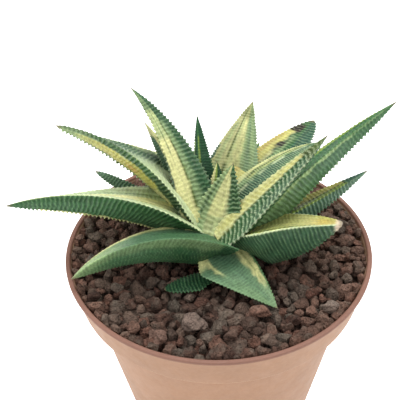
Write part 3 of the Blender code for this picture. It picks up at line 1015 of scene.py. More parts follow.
        # Teeth, where a crest meets a margin or the keel.
        margin = np.abs(across) ** 26
        keel = np.exp(-(across / KEEL_HALF) ** 2) * (1 - upper)
        tooth = self.ribs.tooth * crest ** 1.5 * fade
        points = (points + outward * lift[..., None]
                  + side[:, None] * (np.sign(across) * margin * tooth)[..., None]
                  - over[:, None] * (KEEL_TOOTH * keel * tooth)[..., None])
        skin = Skin(points[None] * MM, np.stack([path[0], points[-1].mean(0)])[None] * MM)
        # Pale crests and margins, over grooves darkened by painted shade.
        pale = crest ** 2.5 * whole * np.where(upper > 0.5, self.ribs.upper, self.ribs.under)
        pale = np.maximum(pale, self.ribs.rim * np.maximum(margin, KEEL_TOOTH * keel * crest))
        groove = self.ribs.dark * (1 - 0.7 * bright) * (1 - crest) * whole * fade
        skin.carry("pigment", (pigment * (1 - groove)[..., None])[None])
        skin.carry("crest", (pale * (1 - CALM * bright) * (0.3 + 0.7 * fade))[None])
        return skin

    def pigment(self, along: np.ndarray, across: np.ndarray, upper: np.ndarray) -> np.ndarray:
        """Linear colour of every point: the base tones, then each stripe laid over them.

        Fine lengthwise streaks make it lighter and darker, and the very tip is dry.

        Args:
            along: Along parameter of every point.
            across: Across parameter of every point.
            upper: 1 on the upper face.

        Returns:
            Colours in the points' shape with a last axis of three.
        """
        base = np.array(self.under.value) + upper[..., None] * (
            np.array(self.upper.value) - np.array(self.under.value))
        for number, stripe in enumerate(self.stripes):
            cover = stripe.cover(across, along, upper, self.seed + 31 * number)[..., None]
            base = base + cover * (np.array(stripe.tone.value) - base)
        tip = smooth((along - DRY_TIP[0]) / DRY_TIP[1])[..., None]
        base = base + tip * (np.array(Tone.TIP.value) - base) * 0.8
        streak = wobble(across * 5.0, along * 1.6, self.seed + 5) + 0.6 * wobble(
            across * 11.0, along * 2.4, self.seed + 6)
        return base * (1 + STREAK * streak)[..., None]

    def build(self, finish: bpy.types.Material) -> None:
        """Make the leaf in this finish and put it in the place of its CAD node."""
        settle(self.surface().build(f"{self.name}_skin"), self.name, finish)


def up(tone: Tone, left: float, right: float, *spans: float, **more: float) -> Stripe:
    """A stripe on the upper face."""
    return Stripe(tone, Side.UPPER, left, right, *spans, **more)


def low(tone: Tone, left: float, right: float, *spans: float, **more: float) -> Stripe:
    """A stripe on the underside."""
    return Stripe(tone, Side.UNDER, left, right, *spans, **more)


T = Tone
LEAVES = (
    Leaf("leaf_heart_front", (-2, -7, 99.5), 74, -20, (34, 58), 26.5, 19, 5, taper=1.7, point=1.0,
         upper=T.PINK, skin="leaf_cream", hollow=0.3,
         ribs=Ribs(pitch=1.85, height=0.36, upper=0.4, slant=-0.35, broken=0.1, dark=0.6),
         stripes=(up(T.CREAM, -0.5, 0.12, 0.3, share=0.8), up(T.PALE, 0.3, 1),
                  up(T.GREEN, 0.38, 1, lean=-0.15, soft=0.2), up(T.PALE, -1, -0.5),
                  up(T.GREEN, -0.84, -0.66, 0.05, 0.75, share=0.7), up(T.PALE, -1, 1, 0, 0.3, share=0.5),
                  up(T.GREEN, 0.0, 1, 0.82))),
    Leaf("leaf_heart_small", (-2, 0, 97), 80, 0, (50, 60), 24, 9, 4, upper=T.LEAFY, under=T.LEAFY,
         skin="leaf_striped", ribs=Ribs(pitch=1.3, upper=0.3),
         stripes=(up(T.CREAM, -1, -0.25), up(T.DEEP, 0.35, 1))),
    Leaf("leaf_heart_dark", (1, 2, 97), 92, 2, (50, 52), 23, 11, 4, upper=T.DEEP, under=T.DEEP,
         ribs=Ribs(pitch=1.1, upper=0.35)),
    Leaf("leaf_rear_narrow", (-3, 3, 98), 98, 0, (55, 46), 38, 11, 5, upper=T.DEEP, under=T.DEEP,
         ribs=Ribs(pitch=1.1, height=0.15, upper=0.12),
         stripes=(up(T.PALE, -1, -0.86, 0, 0.75), up(T.GREEN, -0.5, -0.1),
                  up(T.LEAFY, -0.4, -0.2, 0.1, 0.8))),
    Leaf("leaf_rear_upright", (1, 8.5, 95), 71, -8, (46, 40), 44.7, 25.4, 6, taper=1.6, point=1.0,
         upper=T.CREAM, skin="leaf_cream",
         ribs=Ribs(pitch=1.2, height=0.2, upper=0.5, broken=0.5, dark=0.36),
         stripes=(up(T.PINK, -1, -0.38), up(T.SEA, -1, -0.9, 0.05, 0.6),
                  up(T.PALE, -0.8, -0.62, 0, 0.8, share=0.6), up(T.OLIVE, -0.42, -0.34, 0.1, 0.95),
                  up(T.PALE, -0.3, -0.16, share=0.5), up(T.PALE, 0.22, 1, soft=0.2),
                  up(T.GREY, 0.40, 0.62, 0, 0.9, share=0.6, soft=0.15),
                  up(T.OLIVE, 0.02, 0.08, 0, 0.7, share=0.5), up(T.GREY, 0.84, 1, 0, 0.85, share=0.5),
                  up(T.OLIVE, -1, 1, 0.86, share=0.5))),
    Leaf("leaf_front_right_striped", (0, -8, 99.5), 20, 4, (41, 37), 49.5, 15, 6, roll=(6, 6), taper=1.5,
         skin="leaf_cream",
         ribs=Ribs(pitch=2.0, height=0.38, upper=0.7, slant=0.5, broken=0.3, dark=0.5, rim=0.7),
         stripes=(up(T.GREY, 0.4, 1, 0.2, share=0.6, fade=0.3), up(T.CREAM, -1, -0.12, 0, 0.8, lean=-0.25),
                  up(T.YELLOW, -0.8, -0.35, 0.05, 0.8, share=0.5),
                  up(T.OLIVE, -1, -0.1, 0, 0.8, share=0.14), up(T.OLIVE, -0.14, -0.03, lean=-0.25),
                  up(T.OLIVE, -1, 1, 0.8, share=0.7))),
    Leaf("leaf_left_tall", (-4, -2.6, 98.2), 110, 26, (56, 19), 59.5, 16, 7, upper=T.DEEP,
         skin="leaf_cream", ribs=Ribs(pitch=1.75, upper=0.16, dark=0.42),
         stripes=(up(T.GREEN, -0.1, 1, share=0.6), up(T.PALE, -0.1, 0.35, 0, 0.7, soft=0.4, share=0.8),
                  up(T.CREAM, -1, -0.02, 0, 0.8), up(T.PALE, -1, 0.0, 0.6, share=0.6),
                  up(T.OLIVE, -0.08, 0.03, 0.05, 0.7), up(T.DEEP, -1, -0.93, 0.05, 0.5),
                  up(T.GREEN, -0.6, -0.5, 0.5, share=0.5))),
    Leaf("leaf_right_ridged", (0.5, -1, 97.5), 36, 0, (50, -6.5), 51, 17, 7, roll=(-3, 7), taper=1.85,
         upper=T.GREY, skin="leaf_striped",
         ribs=Ribs(pitch=1.0, height=0.22, upper=0.8, slant=0.1, broken=0.6, dark=0.6),
         stripes=(up(T.SEA, -0.45, 0.3, 0.1, 0.6, share=0.4), up(T.PALE, 0.25, 1, share=0.7, soft=0.3),
                  up(T.PALE, -1, -0.5, share=0.8), up(T.CREAM, -1, -0.78, 0.3, share=0.8),
                  up(T.YELLOW, -0.72, -0.6, 0.4, 0.9, share=0.5), up(T.MINT, -0.44, -0.38, 0.3, 0.9),
                  up(T.MINT, 0.5, 0.58, 0.3, 0.8, share=0.6), up(T.GREEN, 0.1, 0.2, 0.2, 0.9, share=0.5),
                  up(T.OLIVE, -0.8, -0.7, 0.4, 0.92), up(T.GREEN, -0.5, -0.42, 0.3, 0.9),
                  up(T.GREEN, -1, 1, 0.9, share=0.6))),
    # leaf_right_longest: the pale wash over the underside near the stem is painted light, lifting the
    # shade that falls there.
    Leaf("leaf_right_longest", (4, -3, 97), 25, 0, (41, 18), 72.5, 18, 9.5, roll=(32, 30),
         ribs=Ribs(pitch=1.75, tooth=0.55, under=0.4, slant=0.3, broken=0.85, dark=0.26, rim=0.7),
         stripes=(up(T.LEAFY, -1, -0.5), low(T.GREY, 0.5, 0.94, 0.08, 0.8, share=0.6, soft=0.4, fade=0.4),
                  low(T.GREEN, 0.0, 0.35, share=0.7, soft=0.2), low(T.PALE, 0.9, 1, 0.2),
                  low(T.MINT, -0.07, 0.07, 0.3, share=0.4),
                  low(T.PALE, -1, 1, 0, 0.35, share=0.4, fade=0.5), low(T.GREEN, -1, 1, 0.72, share=0.6))),
    # leaf_left_raised: the pale and mint bands on the upper face by the left margin are its own pale skin,
    # made paler as painted light where it lies in shade.
    Leaf("leaf_left_raised", (1, 7, 94.5), 130, 51, (69, 16), 68, 29.5, 15, roll=(-5, -43), bend=0.4,
         taper=2.2, point=0.85, keel_taper=0.9, upper=T.DEEP, skin="leaf_striped",
         ribs=Ribs(pitch=1.7, height=0.32, tooth=0.6, upper=0.65, under=0.5, slant=0.3, rim=0.35),
         stripes=(up(T.GREEN, -0.5, 1, 0.1, share=0.9), up(T.PALE, -1, 0.0, 0, 0.62, soft=0.2, fade=0.25),
                  up(T.MINT, -1, 0.2, 0, 0.52, share=0.9, soft=0.5, fade=0.25), up(T.CREAM, 0.9, 1),
                  up(T.PALE, 0.7, 0.9, 0.1, 0.6), low(T.PALE, -0.7, 0.0), low(T.CREAM, -0.6, -0.1, 0, 0.5),
                  low(T.DEEP, -1, -0.6, 0, 0.44), low(T.GREEN, -1, -0.72, 0.5),
                  low(T.MINT, -0.76, -0.7, 0.55, 0.95), low(T.YELLOW, -0.72, -0.18, 0.4, 0.9),
                  low(T.OLIVE, -0.2, 0.0, 0.3, 0.95, share=0.6),
                  low(T.PALE, -1, 1, 0.82, share=0.6, fade=0.2),
                  low(T.GOLD, -0.6, -0.3, 0.53, 0.6, share=0.8))),
    Leaf("leaf_left_tall_rear", (-5, 3, 97), 122, 8, (40, 32), 43, 12, 6, upper=T.PINK, under=T.DEEP,
         skin="leaf_cream", ribs=Ribs(pitch=1.2),
         stripes=(up(T.GREY, -1, -0.2, 0, 0.85), up(T.CREAM, 0.0, 1, 0, 0.9))),
    # leaf_upper_right_blunt: two near-black bars cross the upper face towards the end.
    Leaf("leaf_upper_right_blunt", (1, 3, 100), 42, 10, (27, 5), 55, 19.5, 6, roll=(-13, 11), taper=3.3,
         point=0.73, skin="leaf_striped", ribs=Ribs(height=0.28, upper=0.5, broken=0.5, dark=0.4),
         stripes=(up(T.PALE, -0.3, 0.0, 0.1, 0.8, share=0.8), up(T.SEA, 0.1, 1, 0.5),
                  up(T.CREAM, -1, -0.38, 0, 0.91), up(T.YELLOW, -1, -0.5, 0, 0.91, share=0.8),
                  up(T.GOLD, -0.98, -0.78, 0.2, 0.8, share=0.45), up(T.DEEP, -0.42, -0.32, 0.3, 0.86),
                  up(T.GREEN, -0.12, -0.04, 0.3, 0.85), up(T.PALE, 0.22, 0.3, 0.3, 0.8, share=0.7),
                  up(T.DEEP, 0.3, 0.45, 0.6, 0.9, share=0.6),
                  up(T.NEAR_BLACK, -0.62, -0.22, 0.65, 0.705, soft=0.08, fade=0.02),
                  up(T.NEAR_BLACK, -1, -0.1, 0.845, 0.93, soft=0.1, fade=0.02))),
    # leaf_left_long: the pale upper face is its own pale skin, made paler still as painted light where it
    # lies in shade.
    Leaf("leaf_left_long", (-5, 7.3, 96.5), 189, 4, (60, -7), 69.5, 29.3, 11.3, roll=(0, -48), bend=0.5,
         taper=1.0, keel_taper=1.65, upper=T.PALE,
         ribs=Ribs(pitch=1.65, height=0.32, tooth=0.6, upper=0.75, under=0.5, slant=0.35, broken=0.65,
                   dark=0.38, rim=0.5),
         stripes=(up(T.MINT, -1, 0.9, 0, 0.9, share=0.6), up(T.GREEN, 0.3, 0.42, 0.1, 0.8, share=0.6),
                  up(T.MINT, 0.8, 1), up(T.CREAM, -0.6, 0.1, 0.2), up(T.MINT, -1, -0.86),
                  up(T.GREEN, -0.5, -0.4, 0.1, 0.8, share=0.6),
                  low(T.GREY, -0.75, -0.2, 0.1, share=0.4, soft=0.3),
                  low(T.CREAM, -0.12, 0.05, 0.22, 0.85))),
    Leaf("leaf_right_rear", (3, -1, 95), 11, 12, (20, 15), 54, 14, 9, roll=(20, 20), upper=T.YELLOW,
         under=T.SEA, skin="leaf_striped", ribs=Ribs(height=0.34, tooth=0.55, under=0.3, upper=0.3),
         stripes=(up(T.OLIVE, 0.1, 0.35, 0.4, 0.8), up(T.LEAFY, 0.35, 1),
                  low(T.GREY, -1, 1, 0.2, share=0.6), up(T.SEA, -1, 1, 0.82))),
    Leaf("leaf_right_broad", (3, -5, 99.5), 353, -8, (30, 0), 39, 17.5, 13.5, roll=(13, 30), taper=6.0,
         point=0.5, keel_taper=3.4, belly=1.8, neck=0.4, reach=0.38, upper=T.YELLOW, under=T.DEEP,
         ribs=Ribs(pitch=1.45, height=0.26, upper=0.4, under=0.5, slant=0.3, broken=0.85, dark=0.35,
                   rim=0.3),
         stripes=(up(T.CREAM, -0.8, 0.6, 0, 0.8, share=0.5),
                  up(T.OLIVE, -0.9, 0.8, 0, 0.6, share=0.6, fade=0.5),
                  up(T.GOLD, -0.6, 0.9, 0.75, 0.95, share=0.45, fade=0.2), up(T.MINT, -1, -0.92, 0, 0.8),
                  up(T.OLIVE, 0.62, 0.84, 0, 0.8), up(T.MINT, 0.9, 1), up(T.DRY, -1, 1, 0.95),
                  low(T.GREY, -1, 1, share=0.35), low(T.DRY, -1, 1, 0.955))),
    # leaf_front_left_arching: the deep green over the underside near the stem is its own green darkened as
    # painted shade under the crown.
    Leaf("leaf_front_left_arching", (4, -7, 98), 185, 21, (33, -38), 57, 22.5, 10, roll=(-26, -31),
         taper=1.7, keel_taper=2.4, upper=T.PALE,
         ribs=Ribs(pitch=1.35, height=0.18, tooth=0.2, upper=0.2, under=0.5, slant=0.8, broken=0.85),
         stripes=(low(T.GREY, -1, 0.4, 0.35, share=0.45, fade=0.5, soft=0.5),
                  low(T.PALE, -1, 1, 0.85, share=0.6, fade=0.3), low(T.DEEP, -1, 1, 0, 0.35, fade=0.5),
                  low(T.PALE, 0.75, 1, 0.1, share=0.5, soft=0.2),
                  low(T.PALE, -1, -0.75, 0.1, share=0.4, soft=0.2), up(T.CREAM, 0.75, 1),
                  up(T.GREY, -1, 0.7, 0, 0.7, fade=0.3, soft=0.3),
                  up(T.GREEN, -1, 0.4, 0, 0.5, share=0.6, fade=0.5, soft=0.5))),
    Leaf("leaf_front_drooping", (-4, -7.5, 96.5), 315, 0, (-2, -21), 32.5, 24, 6, roll=(0, 2), taper=1.4,
         neck=0.4, reach=0.3, upper=T.GREY,
         ribs=Ribs(pitch=1.2, height=0.14, tooth=0.3, upper=0.35, broken=0.95, dark=0.2),
         stripes=(up(T.PALE, -1, 1, 0.5, share=0.35, fade=0.8),
                  up(T.SEA, -0.3, 0.2, 0.1, 0.9, share=0.3, soft=0.4),
                  up(T.CREAM, 0.5, 1, 0, 0.22, share=0.9, fade=0.1),
                  up(T.CREAM, 0.45, 0.58, 0.15, 0.38, share=0.8, fade=0.15),
                  up(T.CREAM, -0.92, -0.5, 0, 0.72, fade=0.2),
                  up(T.OLIVE, -0.72, -0.66, 0.05, 0.7, share=0.6),
                  up(T.GREEN, -1, -0.9, 0.05, 0.8, share=0.7))),
    Leaf("leaf_left_short", (-7, 8, 92), 158, 0, (23, 18), 42.5, 6.0, 3.8, taper=5.0, point=0.7,
         upper=T.GREY, under=T.SEA, ribs=Ribs(pitch=1.4, upper=0.8, under=0.7, dark=0.4),
         stripes=(up(T.DRY, -1, 1, 0, 0.55, share=0.6),)),
    # leaf_low_shaded is deep green all over: its own dark green, darkened further as painted shade from
    # the leaves over it.
    Leaf("leaf_low_shaded", (-2.5, -18.2, 92), 194, 0, (-3, -3), 15.5, 6.8, 3, roll=(6, 6), taper=2.4,
         point=0.6, neck=0.4, reach=0.3, upper=T.DEEP, under=T.DEEP,
         ribs=Ribs(pitch=1.3, upper=0.35, broken=0.7, dark=0.5)),
    Leaf("leaf_back_middle", (1, 6, 94), 66, 0, (22, 12), 41, 15, 7, skin="leaf_striped",
         stripes=(up(T.CREAM, -1, -0.4), up(T.PALE, 0.7, 1))),
    Leaf("leaf_back_left", (-5, 4, 94), 128, 0, (24, 18), 39, 14, 6,
         stripes=(up(T.CREAM, 0.35, 0.9), up(T.DEEP, -0.6, 0.2))),
    Leaf("leaf_back_right", (3, 4, 93), 40, 0, (12, 4), 42, 14, 6,
         stripes=(up(T.YELLOW, -0.8, -0.3), up(T.DEEP, 0.1, 0.7))),
    Leaf("leaf_back_low", (-2, 6, 93), 98, 0, (14, 8), 33, 14, 6,
         stripes=(up(T.DEEP, -0.5, 0.5),)),
)


# ---------------------------------------------------------------- gravel and stones

CUT_DEPTHS = (0.56, 0.92)     # how far from the middle the planes of a stone cut it
LUMP_PACES = (2.5, 5.0, 9.0)  # waves of a stone's coarse, middle and fine lumps


def rock_rings(rows: int, columns: int, size: np.ndarray, seeds: np.ndarray,
               facets: int, rough: float) -> tuple[np.ndarray, np.ndarray]:
    """Shapes of rough stones about the origin, one for every seed.

    Each direction n has the radius min over planes of c / (n . d), a body cut by seeded
    planes. It is multiplied by lumps 1 + 1.8 rough / k^0.7 times the sum of four sine waves,
    once for each pace k, and the whole is stretched to its size.

    Args:
        rows: Rings between the poles.
        columns: Points to a ring.
        size: Half sizes (stones, 3), metres.
        seeds: A seed for each stone.
        facets: Cutting planes to a stone.
        rough: Height of the lumps, as a share of the radius.

    Returns:
        Rings (stones, rows, columns, 3) and poles (stones, 2, 3).
    """
    theta = math.pi * np.arange(0, rows + 2) / (rows + 1)
    phi = math.tau * np.arange(columns) / columns
    ring = np.stack([np.sin(theta)[:, None] * np.cos(phi), np.sin(theta)[:, None] * np.sin(phi),
                     np.cos(theta)[:, None] * np.ones(columns)], -1)
    out = np.empty((len(seeds),) + ring.shape)
    for number, seed in enumerate(seeds):
        picks = np.random.default_rng(int(seed))
        turn = np.linalg.qr(picks.normal(size=(3, 3)))[0]
        n = ring @ turn
        planes = unit(picks.normal(size=(facets, 3)))
        depth = picks.uniform(*CUT_DEPTHS, facets)
        reach = np.maximum(n @ planes.T, 0.05)
        radius = np.minimum((depth / reach).min(-1), 1.0)
        for pace in LUMP_PACES:
            way = unit(picks.normal(size=(4, 3)))
            phase = picks.uniform(0, math.tau, 4)
            waves = np.sin(pace * (n @ way.T) + phase).sum(-1)
            radius = radius * (1 + rough * 1.8 / pace ** 0.7 * waves)
        out[number] = ring * radius[..., None] / radius.max()
    out = out * size[:, None, None, :]
    return out[:, 1:-1], np.stack([out[:, 0].mean(1), out[:, -1].mean(1)], 1)


@dataclass
class Stones:
    """The larger lava stones, each from the box of its CAD node.

    Attributes:
        rows: Rings of a stone.
        columns: Points to a ring.
        facets: Cutting planes to a stone.
        rough: Height of the lumps, as a share of the radius.
        swell: Size of a stone against its box, since the cuts take some away.
        tone_step: Step of the tone from one stone to the next, round and round.
        hue_step: The same for the hue.
        seed: Seed of the first stone.
        finishes: Lava finishes by their material slots.
    """

    rows: int = 40
    columns: int = 56
    facets: int = 10
    rough: float = 0.08
    swell: float = 1.06
    tone_step: float = 0.37
    hue_step: float = 0.77
    seed: int = 100
    finishes: dict[str, bpy.types.Material] = field(default_factory=dict)

    def names(self) -> list[str]:
        """Names of the stone nodes, in the record's order."""
        return sorted(name for name in frame["nodes"] if name.startswith("stone_"))

    def build(self) -> None:
        """Make a stone for every node, filling its box."""
        slots = {part["node"]: part["material_slot"] for part in frame["record"]["subparts"]}
        for number, name in enumerate(self.names()):
            lowest, highest = corners_of(name)
            size = 0.5 * (highest - lowest) * self.swell
            rings, poles = rock_rings(self.rows, self.columns, size[None],
                                      np.array([self.seed + number]), self.facets, self.rough)
            centre = 0.5 * (lowest + highest)
            skin = Skin(rings + centre, poles + centre)
            skin.dye((number * self.tone_step) % 1.0, (number * self.hue_step) % 1.0)
            settle(skin.build(f"{name}_rock"), name, self.finishes[slots[name]])


TOUCH = 0.92   # share of two radii's sum at which grains lie side by side
PUSH = 0.4     # share of the overlap that each grain moves by in one round
ROUNDS = 80    # rounds of pushing


@dataclass
class GravelBed:
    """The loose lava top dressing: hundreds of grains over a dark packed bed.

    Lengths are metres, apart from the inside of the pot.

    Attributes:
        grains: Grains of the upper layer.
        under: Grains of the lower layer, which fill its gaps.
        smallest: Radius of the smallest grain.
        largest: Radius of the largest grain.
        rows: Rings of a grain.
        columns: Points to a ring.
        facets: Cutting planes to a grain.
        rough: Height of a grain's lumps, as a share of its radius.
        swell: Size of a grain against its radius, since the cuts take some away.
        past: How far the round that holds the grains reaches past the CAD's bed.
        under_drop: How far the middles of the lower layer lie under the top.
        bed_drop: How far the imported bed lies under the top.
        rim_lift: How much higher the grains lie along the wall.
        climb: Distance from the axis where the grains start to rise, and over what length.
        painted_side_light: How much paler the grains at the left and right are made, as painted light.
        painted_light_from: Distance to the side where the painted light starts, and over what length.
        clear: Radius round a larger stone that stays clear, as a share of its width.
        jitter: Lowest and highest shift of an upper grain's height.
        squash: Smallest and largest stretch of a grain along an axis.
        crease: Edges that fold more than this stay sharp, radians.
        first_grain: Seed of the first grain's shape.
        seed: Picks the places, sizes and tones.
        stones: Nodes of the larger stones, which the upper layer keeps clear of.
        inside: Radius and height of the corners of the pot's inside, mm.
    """

    grains: int = 430
    under: int = 420
    smallest: float = 0.0015
    largest: float = 0.0044
    rows: int = 5
    columns: int = 9
    facets: int = 7
    rough: float = 0.12
    swell: float = 1.16
    past: float = 0.0018
    under_drop: float = 0.0036
    bed_drop: float = 0.0032
    rim_lift: float = 0.0017
    climb: tuple[float, float] = (0.034, 0.013)
    painted_side_light: float = 0.55
    painted_light_from: tuple[float, float] = (0.018, 0.022)
    clear: float = 0.40
    jitter: tuple[float, float] = (-0.0008, 0.0007)
    squash: tuple[float, float] = (0.72, 1.14)
    crease: float = 0.5
    first_grain: int = 500
    seed: int = 12
    stones: tuple[str, ...] = ()
    inside: tuple[tuple[float, float], ...] = ()

    def relax(self, places: np.ndarray, radii: np.ndarray, limit: float,
              fixed: int) -> np.ndarray:
        """Push overlapping discs apart until they lie side by side.

        In a pair closer than TOUCH of its radii's sum, each moves away by PUSH of the overlap,
        ROUNDS times over; discs of the larger stones stay where they are.

        Args:
            places: Centres (n, 2).
            radii: Radii (n,).
            limit: Radius of the round that holds them all.
            fixed: How many discs at the front of the list stay put.

        Returns:
            The new centres.
        """
        spots = places.copy()
        free = (np.arange(len(spots)) >= fixed)[:, None]
        for _ in range(ROUNDS):
            gap = spots[:, None] - spots[None]
            distance = np.linalg.norm(gap, axis=-1) + np.eye(len(spots))
            overlap = np.maximum(TOUCH * (radii[:, None] + radii[None]) - distance, 0)
            np.fill_diagonal(overlap, 0)
            push = (gap / distance[..., None] * overlap[..., None]).sum(1) * PUSH
            spots = spots + push * free
            reach = np.linalg.norm(spots, axis=-1)
            hold = np.minimum(1.0, (limit - radii) / np.maximum(reach, 1e-9))
            spots = np.where(free, spots * hold[:, None], spots)
        return spots

    def layer(self, picks: np.random.Generator, count: int, limit: float,
              avoid: np.ndarray) -> tuple[np.ndarray, np.ndarray]:
        """Places and radii of one layer of grains.

        Args:
            picks: Random source.
            count: How many grains.
            limit: Radius of the round.
            avoid: Discs (n, 3) of x, y and radius that stay clear.

        Returns:
            Centres (count, 2) and radii (count,).
        """
        spread = limit * np.sqrt(picks.uniform(0, 1, count))
        angle = picks.uniform(0, math.tau, count)
        radii = self.smallest + (self.largest - self.smallest) * picks.beta(1.6, 2.4, count)
        places = np.stack([spread * np.cos(angle), spread * np.sin(angle)], -1)
        places = np.concatenate([avoid[:, :2], places])
        sizes = np.concatenate([avoid[:, 2], radii])
        return self.relax(places, sizes, limit, len(avoid))[len(avoid):], radii

    def build(self, finish: bpy.types.Material) -> None:
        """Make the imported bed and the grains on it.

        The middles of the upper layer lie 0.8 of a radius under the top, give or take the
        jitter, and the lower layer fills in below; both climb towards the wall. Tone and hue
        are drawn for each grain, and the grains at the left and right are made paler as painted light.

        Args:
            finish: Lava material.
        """
        lowest, highest = corners_of("gravel_bed")
        limit = 0.5 * (highest[0] - lowest[0]) + self.past
        top = highest[2]
        picks = np.random.default_rng(self.seed)
        avoid = np.array([[0.5 * (a[0] + b[0]), 0.5 * (a[1] + b[1]), self.clear * (b[0] - a[0])]
                          for a, b in map(corners_of, self.stones)])
        upper_spots, upper_sizes = self.layer(picks, self.grains, limit, avoid)
        lower_spots, lower_sizes = self.layer(picks, self.under, limit, np.zeros((0, 3)))
        spots = np.concatenate([upper_spots, lower_spots])
        sizes = np.concatenate([upper_sizes, lower_sizes])
        jitter = picks.uniform(*self.jitter, self.grains)
        level = np.concatenate([top - upper_sizes * 0.80 + jitter,
                                np.full(self.under, top - self.under_drop)])
        outward = np.linalg.norm(spots, axis=1) - self.climb[0]
        level = level + self.rim_lift * smooth(outward / self.climb[1])
        centre = np.concatenate([spots, level[:, None]], -1)
        squash = picks.uniform(*self.squash, (len(sizes), 3))
        rings, poles = rock_rings(self.rows, self.columns, sizes[:, None] * self.swell * squash,
                                  np.arange(len(sizes)) + self.first_grain, self.facets,
                                  self.rough)
        skin = Skin(self.held_in(rings + centre[:, None, None]),
                    self.held_in(poles + centre[:, None]))
        # Painted light: the grains towards the left and right are paler, standing in for the light that
        # falls there.
        painted_side_light = self.painted_side_light * smooth((np.abs(spots[:, 0]) - self.painted_light_from[0]) / self.painted_light_from[1])
        tone = np.clip(picks.beta(1.5, 2.0, len(sizes)) + painted_side_light, 0.0, 1.0)
        skin.dye(tone, picks.uniform(0, 1, len(sizes)))
        grains = skin.build("lava_gravel_grains", crease=self.crease)
        bed = self.packed(lowest[2], top - self.bed_drop).build("lava_gravel_packed")
        settle(bed, "gravel_bed", finish)
        settle(grains, "gravel_bed", finish)

    def room(self, height: np.ndarray) -> np.ndarray:
        """Inside radius of the pot at each height, in metres."""
        walls = np.array(sorted(self.inside, key=lambda corner: corner[1])) * MM
        return np.interp(height, walls[:, 1], walls[:, 0])

    def held_in(self, points: np.ndarray) -> np.ndarray:
        """Draw points that would stand past the inside of the pot back to it.

        Each point's distance from the axis becomes at most the inside radius at its height,
        less 0.2 mm.

        Args:
            points: Points in any shape with a last axis of three, metres.

        Returns:
            The points, held in.
        """
        reach = np.linalg.norm(points[..., :2], axis=-1)
        room = self.room(points[..., 2]) - 0.0002
        held = points.copy()
        held[..., :2] *= np.minimum(1.0, room / np.maximum(reach, 1e-9))[..., None]
        return held

    def packed(self, floor: float, top: float) -> Skin:
        """The packed gravel under the loose grains, shaped by the inside of the pot.

        Rings run from the middle of the underside out, up along the pot's inside 0.3 mm
        clear of it, and back in; the top height is top + 0.5 mm times soft waves of x and y.

        Args:
            floor: Height of the underside.
            top: Height of the top.

        Returns:
            The skin.
        """
        steps = np.array(sorted(level for _, level in self.inside)) * MM
        side = np.array([floor, *steps[(steps > floor) & (steps < top)], top])
        edge = self.room(side) - 0.0003
        below, above, round_it = 8, 40, 120
        radius = np.concatenate([edge[0] * np.linspace(0.1, 0.98, below), edge,
                                 edge[-1] * np.linspace(0.985, 0.02, above)])
        height = np.concatenate([np.full(below, floor), side, np.full(above, top)])
        phi = math.tau * np.arange(round_it) / round_it
        x, y = radius[:, None] * np.cos(phi), radius[:, None] * np.sin(phi)
        z = height[:, None] + 0.0005 * wobble(x * 90, y * 90, 5) * (height[:, None] >= top)
        rings = np.stack([x, y, z], -1)
        poles = np.array([[0, 0, floor], [0, 0, top]])
        skin = Skin(rings[None], poles[None])
        skin.dye(0.1, 0.5)
        return skin


# ---------------------------------------------------------------- pot

